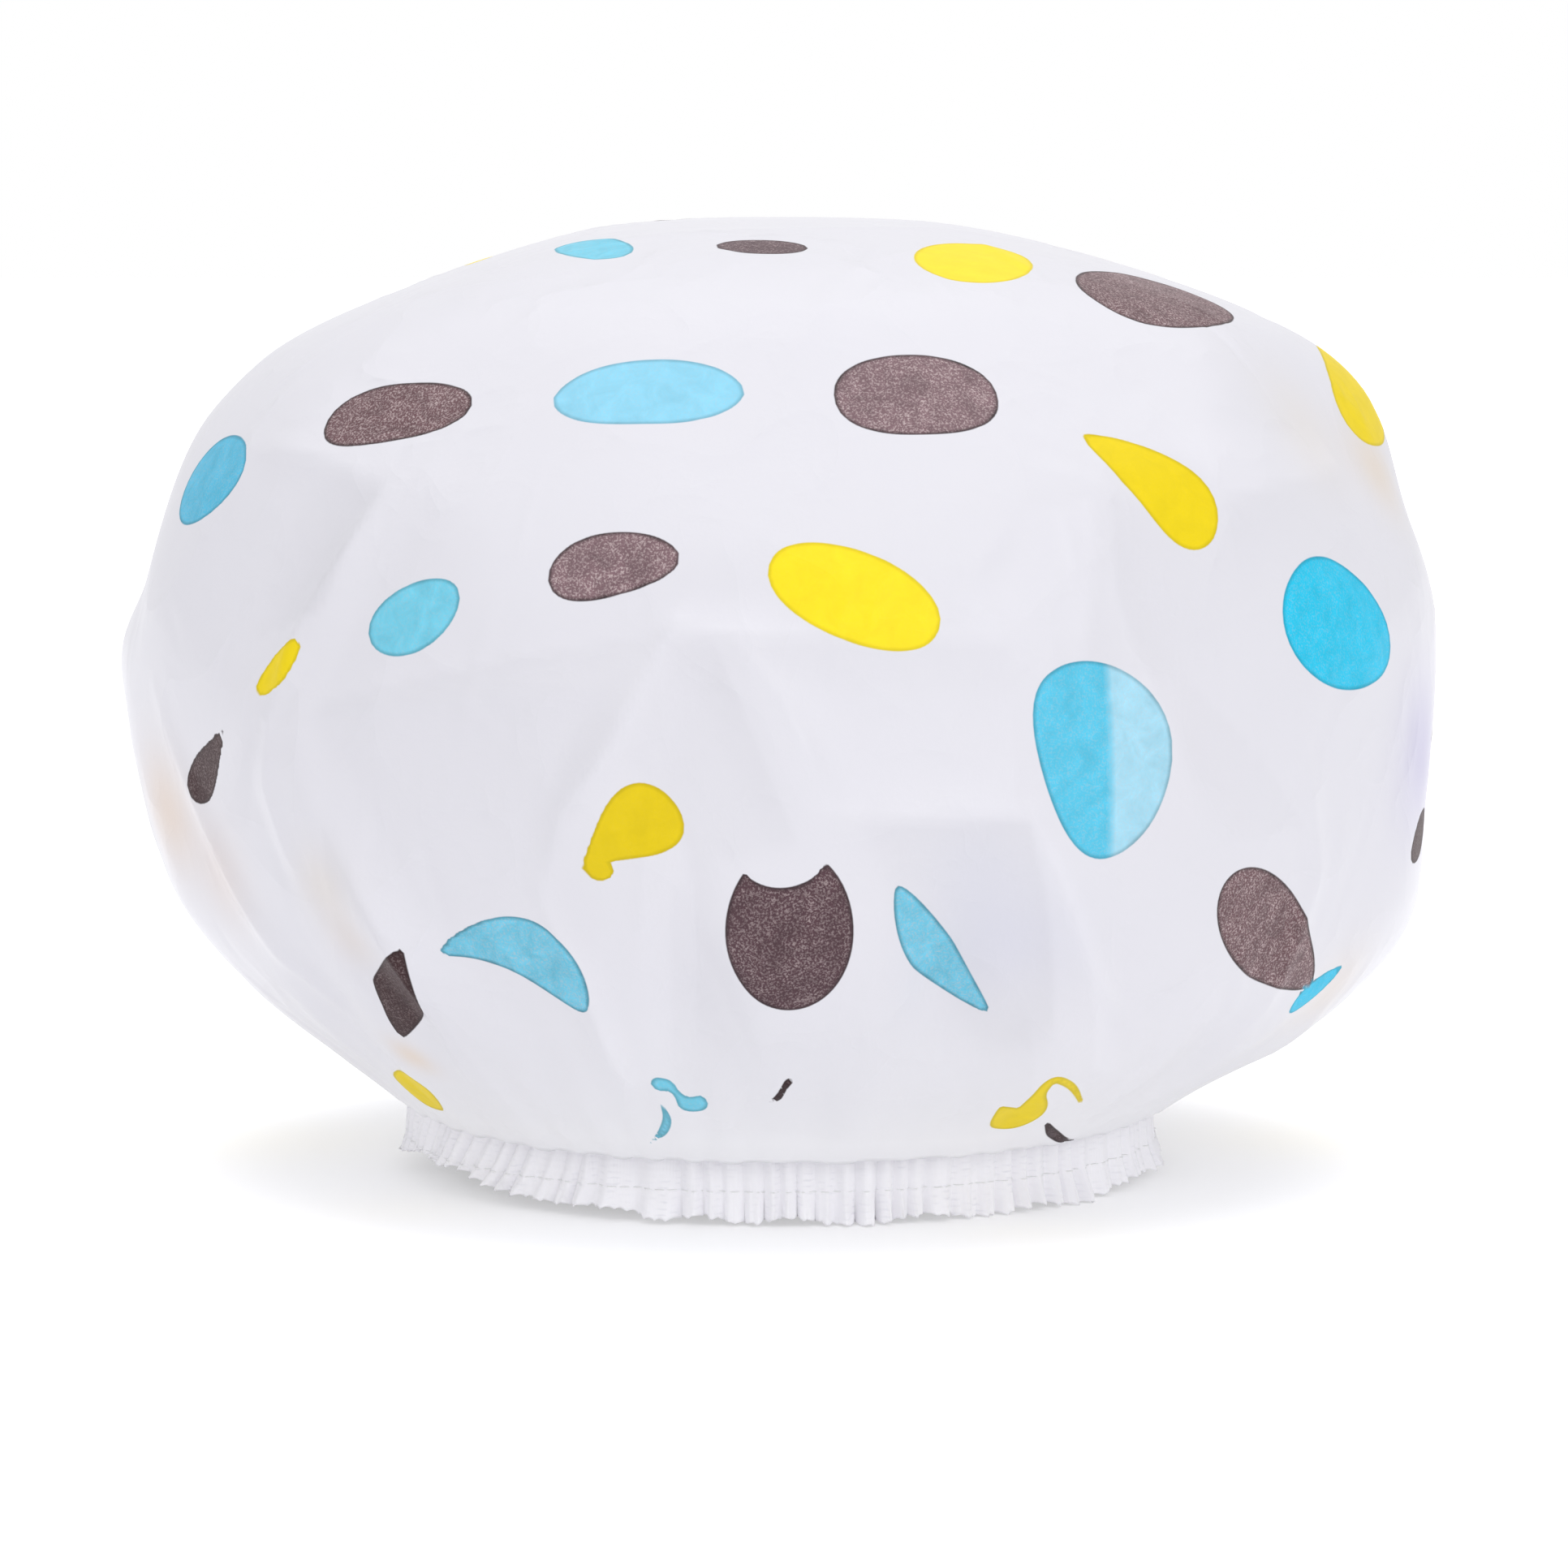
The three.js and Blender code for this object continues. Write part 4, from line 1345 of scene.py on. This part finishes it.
@dataclass
class LaceFrill:
    """The pleated lace round the hem, sewn on flat, fanning out below and turned up on the left."""

    hem: HemStack
    finish: KnittedLaceFinish = field(default_factory=KnittedLaceFinish)
    thickness: float = 0.4
    pleats: int = 108
    samples_per_pleat: int = 14
    rows: int = 28
    header_depth: float = 2.2
    frill_depth: float = 4.6
    flare: float = 0.9
    scallops: int = 19
    scallop_height: float = 1.3
    picot_height: float = 0.5
    right_lift: float = 2.6
    left_lift: float = 7.2
    tip_drop: float = 3.6
    right_narrowness: float = 14
    left_narrowness: float = 3
    tip_narrowness: float = 30
    left_lean: float = 0.5
    side_lean: float = 0.035
    stray_lean: float = 0.012
    uneven_counts: tuple[int, ...] = (5, 9, 14, 23, 36)
    unevenness: float = 0.17
    crest_power: float = 0.75
    fine_depth: float = 0.12
    seed: int = 3

    def pleat(self, bearing: Array, drop: Array) -> Array:
        """The pleats: broad crests and narrow troughs, unevenly wide, that lean at the two ends.

        Args:
            bearing: Bearings in radians.
            drop: The way down the lace, from 0 at its top to 1 at its lower edge.

        Returns:
            0 in a trough to 1 on a crest.
        """
        random = np.random.default_rng(self.seed)
        lean = self.side_lean * np.cos(bearing) ** 2 + self.stray_lean * np.sin(5 * bearing + 1)
        lean = lean + self.left_lean * np.clip(-np.cos(bearing), 0, 1) ** 4
        place = bearing - lean * np.sin(bearing) * drop
        phase = self.pleats * place
        for count in self.uneven_counts:
            size = self.unevenness * self.pleats / count
            phase = phase + size * np.sin(count * place + random.uniform(0, TURN))
        # the pleats' heights vary slowly round the hem, and finer ripples lie on them low down
        tall = 0.7 + 0.3 * np.sin(19 * place + 2) * np.sin(8 * place)
        fine = self.fine_depth * drop * np.sin(2.3 * phase + 1)
        return tall * (0.5 + 0.5 * np.cos(phase)) ** self.crest_power + fine

    def radius(self, bearing: Array, height: Array) -> Array:
        """The lace's middle surface: its pleats, deeper in its lower half, on a slight bulge.

        Args:
            bearing: Bearings in radians.
            height: Heights above the table.

        Returns:
            The distance from the axis at each.
        """
        drop = 1 - height / self.hem.lace_height
        deep = smoothstep(drop, 0.5, 1.0)
        depth = self.header_depth + (self.frill_depth - self.header_depth) * deep
        return self.hem.lace_radius + depth * self.pleat(bearing, drop) + self.flare * drop**1.5

    def lower_edge(self, bearing: Array) -> Array:
        """The lower edge: long scallops, small picots, and a lift at the left and right.

        Args:
            bearing: Bearings in radians.

        Returns:
            The height at each, from 0 at the lowest.
        """
        uneven = 1.4 * np.sin(4 * bearing) + np.sin(7 * bearing)
        scallop = 0.5 - 0.5 * np.cos(self.scallops * bearing + uneven)
        picot = np.abs(np.sin(self.pleats * bearing))
        low = self.scallop_height * scallop**1.5 + self.picot_height * picot
        off = 1 + np.cos(bearing)
        low += self.right_lift * np.clip(np.cos(bearing), 0, 1) ** self.right_narrowness
        low += self.left_lift * np.exp(-self.left_narrowness * off)
        low -= self.tip_drop * np.exp(-self.tip_narrowness * off)
        return low - low.min()

    def build(self) -> None:
        """Makes the lace as a closed sheet with its own thickness, from the back round to it."""
        columns = self.pleats * self.samples_per_pleat
        bearing = np.arange(columns) / columns * TURN + TURN / 4
        share = np.linspace(0, 1, self.rows)[:, None]
        height = self.hem.lace_height * (1 - share) + self.lower_edge(bearing) * share
        points = ring(self.radius(bearing, height), bearing, height)
        along = np.roll(points, -1, 1) - np.roll(points, 1, 1)
        normal = np.cross(np.array([0, 0, -1.0]), along)
        normal *= self.thickness / 2 / np.linalg.norm(normal, axis=-1)[..., None]
        # the outer skin runs down and the inner one back up, so that one grid closes round both
        loop = np.concatenate([points + normal, (points - normal)[::-1]]).reshape(-1, 3)
        quads = grid_faces(2 * self.rows + 1, columns)
        faces = quads % len(loop)
        # the lace laid flat: its length is ruled along its middle row, and its height is its own
        ruled = travelled(points[self.rows // 2])
        ruled = np.append(ruled, ruled[-1] * columns / (columns - 1))
        heights = np.concatenate([height, height[::-1]]).ravel()
        flat = np.stack([ruled[unrolled(faces, columns)], heights[faces]], -1)
        finish = self.finish.material()
        lace = make_piece("lace_frill", loop, faces.tolist(), finish, None, flat)
        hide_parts("lace_ruffle")


def round_section(diameter: float, sides: int) -> Array:
    """A thread's section: points round a circle, counter-clockwise."""
    return ring(diameter / 2, np.linspace(0, TURN, sides, endpoint=False), 0.0)[:, :2]


def closed_tubes(
    centres: Array, out: Array, section: Array
) -> tuple[Array, list[list[int]], Array]:
    """Carries a section along each of some paths, and closes both ends.

    Each ring is centre + out * x + up * y over the section's points (x, y), where up is square to
    the path and to out.

    Args:
        centres: The paths' points, as paths, places and coordinates.
        out: The unit vector away from the cap's axis at each.
        section: The section's points, counter-clockwise to an eye that looks along the path.

    Returns:
        The points, the faces and each face corner's way along and round in millimetres.
    """
    up = np.cross(out, np.gradient(centres, axis=1))
    up /= np.linalg.norm(up, axis=-1)[..., None]
    rings = out[:, :, None] * section[:, :1] + up[:, :, None] * section[:, 1:]
    rings += centres[:, :, None]
    paths, count, sides = rings.shape[:3]
    starts = np.arange(paths)[:, None, None] * (count * sides)
    quads = (starts + grid_faces(count, sides)).reshape(-1, 4)
    caps = np.stack([np.arange(sides), np.arange(count * sides)[: -sides - 1 : -1]])
    caps = (starts + caps).reshape(-1, sides)
    sizes = np.linalg.norm(section - np.roll(section, 1, 0), axis=1)
    around = np.append(np.cumsum(sizes), sizes.sum() + sizes[0])
    flat = [travelled(centres).ravel()[quads // sides], around[unrolled(quads, sides)]]
    flat = np.concatenate([np.stack(flat, -1).reshape(-1, 2), np.zeros((caps.size, 2))])
    return rings.reshape(-1, 3), quads.tolist() + caps.tolist(), flat


@dataclass
class Elastic:
    """The flat elastic in the casing, lapped over its own end at the back and tacked there."""

    hem: HemStack
    finish: BraidedElasticFinish = field(default_factory=BraidedElasticFinish)
    thickness: float = 0.7
    clearance: float = 0.3
    overlap: float = 14.0
    corner: float = 0.25
    sides: int = 16
    thread_diameter: float = 0.5
    thread_sides: int = 8
    legs: int = 8
    steps_per_leg: int = 12
    sharpness: float = 0.96
    margin: float = 1.5
    steps: int = 420

    def middle(self) -> float:
        """The height of the elastic's middle above the table."""
        return self.hem.elastic_bottom + self.hem.elastic_width / 2

    def build_band(self) -> None:
        """Makes the band: a rounded strip, once round and further, stepping out at its lap."""
        lap = self.overlap / self.hem.elastic_radius
        share = np.linspace(0, 1, self.steps)
        bearing = TURN / 4 - lap / 2 + share * (TURN + lap)
        climbed = 1 - smoothstep((1 - share) * (TURN + lap), lap, 3 * lap)
        radius = self.hem.elastic_radius + self.thickness / 2
        radius = radius + (self.thickness + self.clearance) * climbed
        turns = (np.arange(self.sides) + 0.5) / self.sides * TURN
        corners = np.stack([np.cos(turns), np.sin(turns)], -1)
        half = np.array([self.thickness, self.hem.elastic_width]) / 2 - self.corner
        section = np.sign(corners) * half + self.corner * corners
        centres, out = ring(radius, bearing, self.middle()), ring(1.0, bearing, 0.0)
        points, faces, flat = closed_tubes(centres[None], out[None], section)
        band = make_piece("elastic_braid", points, faces, self.finish.material(), None, flat)
        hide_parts("elastic_band")

    def build_tack(self, material: bpy.types.Material) -> None:
        """Makes the zigzag of thread across the lap: a wave whose corners are a little rounded.

        Args:
            material: The thread's finish.
        """
        run = self.overlap - 2 * self.margin
        rise = self.hem.elastic_width - 2 * self.margin
        lapped = 2 * self.thickness + self.clearance
        radius = self.hem.elastic_radius + lapped + self.clearance + self.thread_diameter / 2
        share = np.linspace(0, 1, self.steps_per_leg * self.legs + 1)
        bearing = TURN / 4 + (share - 0.5) * run / radius
        wave = np.arcsin(self.sharpness * np.cos(share * self.legs * TURN / 2))
        wave /= math.asin(self.sharpness)
        centres = ring(radius, bearing, self.middle() - wave * rise / 2)
        section = round_section(self.thread_diameter, self.thread_sides)
        tube = closed_tubes(centres[None], ring(1.0, bearing, 0.0)[None], section)
        points, faces, flat = tube
        tack = make_piece("elastic_tack", points, faces, material, None, flat)
        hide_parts("elastic_tack_thread")


class Side(Enum):
    """The two sides of the hem that a lockstitch shows on, out and in: needle's and bobbin's."""

    NEEDLE = 1
    BOBBIN = -1


@dataclass
class StitchRow:
    """One thread of a row of lockstitch: short arches that dive into the hem between stitches."""

    level: str
    side: Side
    height: float
    lace: LaceFrill
    form: CrownForm
    stitches: int = 190
    stations: int = 5
    sides: int = 5
    diameter: float = 0.36
    gap_share: float = 0.12
    rise: float = 0.1
    dive: float = 0.5
    map_radius: float = 80.0

    def seat(self, bearing: Array) -> Array:
        """The surface that the thread lies on: the lace's outer skin or the film's flap.

        Args:
            bearing: Bearings in radians.

        Returns:
            The distance from the axis at each.
        """
        if self.side is Side.NEEDLE:
            height = np.full_like(bearing, self.height)
            return self.lace.radius(bearing, height) + self.lace.thickness / 2
        return self.lace.hem.flap_radius - self.form.gather_depth * self.form.gathers(bearing)

    def build(self, material: bpy.types.Material) -> None:
        """Makes all the row's stitches as one piece.

        An arch's lift is (1 - t^4) of its rise less t^4 of its dive, t from -1 to 1, and both are
        shares of the thread's diameter. The UV map, which the thread's twist follows, runs on from
        arch to arch in even steps, and clockwise round the thread.

        Args:
            material: The thread's finish.
        """
        pitch = TURN / self.stitches
        way = np.linspace(-1, 1, self.stations)
        half = pitch / 2 * (1 - self.gap_share)
        bearing = np.arange(self.stitches)[:, None] * pitch + way * half
        lift = self.diameter * (self.rise * (1 - way**4) - self.dive * way**4)
        centres = ring(self.seat(bearing) + self.side.value * lift, bearing, self.height)
        section = round_section(self.diameter, self.sides)
        points, faces, _ = closed_tubes(centres, ring(1.0, bearing, 0.0), section)
        corners = np.concatenate(faces)
        along = corners // self.sides * (half * 2 * self.map_radius / self.stations)
        around = -corners % self.sides * (math.pi * self.diameter / self.sides)
        flat = np.stack([along, around], -1)
        kind = self.side.name.lower()
        row = make_piece(f"{kind}_stitches_{self.level}", points, faces, material, None, flat)
        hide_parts(f"{kind}_thread_{self.level}")


def seen_plainly(add: Adder) -> bpy.types.Node:
    """1 for what the camera, a reflection or glass sees of the background, and 0 for light.

    Args:
        add: Adds a node to the material or the world.

    Returns:
        The node that says so.
    """
    rays = add("LightPath").outputs
    first = add("Math", rays["Is Camera Ray"], rays["Is Glossy Ray"], operation="MAXIMUM")
    return add("Math", first, rays["Is Transmission Ray"], operation="MAXIMUM")


@dataclass(frozen=True)
class WhitePaperFinish(Finish):
    """Matt white paper over a light table, which lights the cap's lower half.

    Away from the cap it also glows to the eye alone, so that the background is plain white and the
    cap keeps its soft shadow.
    """

    name: str = "white_paper_floor"
    colour: str = "#D1D1D3"
    glow: float = 0.385
    far_glow: float = 0.65
    glow_rise: float = 0.05
    near: float = 0.1
    far: float = 0.2

    def surface(self, add: Adder) -> bpy.types.Node:
        """The shader, by the distance from the cap's middle.

        Args:
            add: Adds a node to the material.

        Returns:
            The shader.
        """
        away = add("VectorMath", add("TexCoord").outputs["Object"], operation="LENGTH")
        spread = add(
            "MapRange",
            away,
            From_Min=self.near,
            From_Max=self.far,
            interpolation_type="SMOOTHSTEP",
        )
        seen = seen_plainly(add)
        gain = add("Math", seen, self.far_glow, self.glow_rise, operation="MULTIPLY_ADD")
        return add(
            "BsdfPrincipled",
            Base_Color=linear(self.colour),
            Roughness=1.0,
            Specular_IOR_Level=0.0,
            Emission_Color=(1, 1, 1, 1),
            Emission_Strength=add("Math", spread, gain, self.glow, operation="MULTIPLY_ADD"),
        )


@dataclass(frozen=True)
class Softbox:
    """A square lamp: its place in metres, its turn in degrees, its side in metres, its watts."""

    name: str
    place: tuple[float, float, float]
    turn: tuple[float, float, float]
    size: float
    power: float

    def hang(self) -> None:
        """Hangs the lamp in the scene."""
        data = bpy.data.lights.new(self.name, "AREA")
        data.shape, data.size, data.energy = "SQUARE", self.size, self.power
        lamp = bpy.data.objects.new(self.name, data)
        lamp.location, lamp.rotation_euler = self.place, np.radians(self.turn)
        bpy.context.scene.collection.objects.link(lamp)


@dataclass
class Studio:
    """The plain pale floor, the soft light and the camera of the photograph, in metres."""

    target: tuple[float, float, float] = (0.0007, 0.0, 0.082)
    distance: float = 1.6
    elevation: float = 6.6
    frame_width: float = 0.336
    sensor: float = 36.0
    farthest_seen: float = 50.0
    floor_size: float = 8.0
    dome: float = 0.49
    softboxes: tuple[Softbox, ...] = (
        Softbox("overhead", (0.0, -0.1, 1.5), (4, 0, 0), 3.0, 24.2),
        Softbox("front_left", (-1.3, -1.25, 1.0), (63, 0, -46), 1.2, 3.8),
        Softbox("front_right", (1.0, -1.55, 0.72), (71, 0, 33), 1.2, 7.1),
    )

    def camera(self) -> None:
        """Places the camera level with the crown, looking along +Y and a little down."""
        data = bpy.data.cameras.new("camera")
        data.sensor_width = self.sensor
        data.lens = self.sensor * self.distance / self.frame_width
        data.clip_end = self.farthest_seen
        eye = bpy.data.objects.new("camera", data)
        down = math.radians(self.elevation)
        back, rise = self.distance * math.cos(down), self.distance * math.sin(down)
        eye.location = np.array(self.target) + [0, -back, rise]
        eye.rotation_euler = (TURN / 4 - down, 0, 0)
        bpy.context.scene.collection.objects.link(eye)
        bpy.context.scene.camera = eye

    def floor(self) -> None:
        """Lays the floor."""
        half = self.floor_size / 2
        mesh = bpy.data.meshes.new("floor")
        corners = [(-half, -half, 0), (half, -half, 0), (half, half, 0), (-half, half, 0)]
        mesh.from_pydata(corners, [], [(0, 1, 2, 3)])
        mesh.materials.append(WhitePaperFinish().material())
        sheet = bpy.data.objects.new("floor", mesh)
        bpy.context.scene.collection.objects.link(sheet)

    def world(self) -> None:
        """A white room: an even soft light on the cap, and plain white behind it."""
        world = bpy.data.worlds.new("white_room")
        bpy.context.scene.world = world
        world.use_nodes = True
        world.node_tree.nodes.clear()
        add = partial(add_node, world.node_tree)
        strength = add("MapRange", seen_plainly(add), To_Min=self.dome, To_Max=1.0)
        light = add("Background", (1, 1, 1, 1), strength)
        add("OutputWorld", Surface=light)

    def build(self) -> None:
        """Sets up the floor, the lights, the camera and the plain view settings."""
        self.floor()
        self.world()
        for softbox in self.softboxes:
            softbox.hang()
        self.camera()
        bpy.context.scene.view_settings.view_transform = "Standard"
        LOG.info("studio: floor, room light, %d softboxes and camera", len(self.softboxes))


def main() -> None:
    """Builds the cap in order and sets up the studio."""
    logging.basicConfig(level=logging.INFO, format="%(name)s: %(message)s")
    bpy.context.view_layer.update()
    hem, form = HemStack(), CrownForm()
    elastic, lace = Elastic(hem), LaceFrill(hem)
    elastic.build_band()
    CrownFilm(form, hem).build()
    lace.build()
    thread = SewingThreadFinish().material()
    elastic.build_tack(thread)
    for level, height in (("upper", hem.upper_row), ("lower", hem.lower_row)):
        for side in Side:
            StitchRow(level, side, height, lace, form).build(thread)
    Studio().build()


if __name__ == "__main__":
    main()
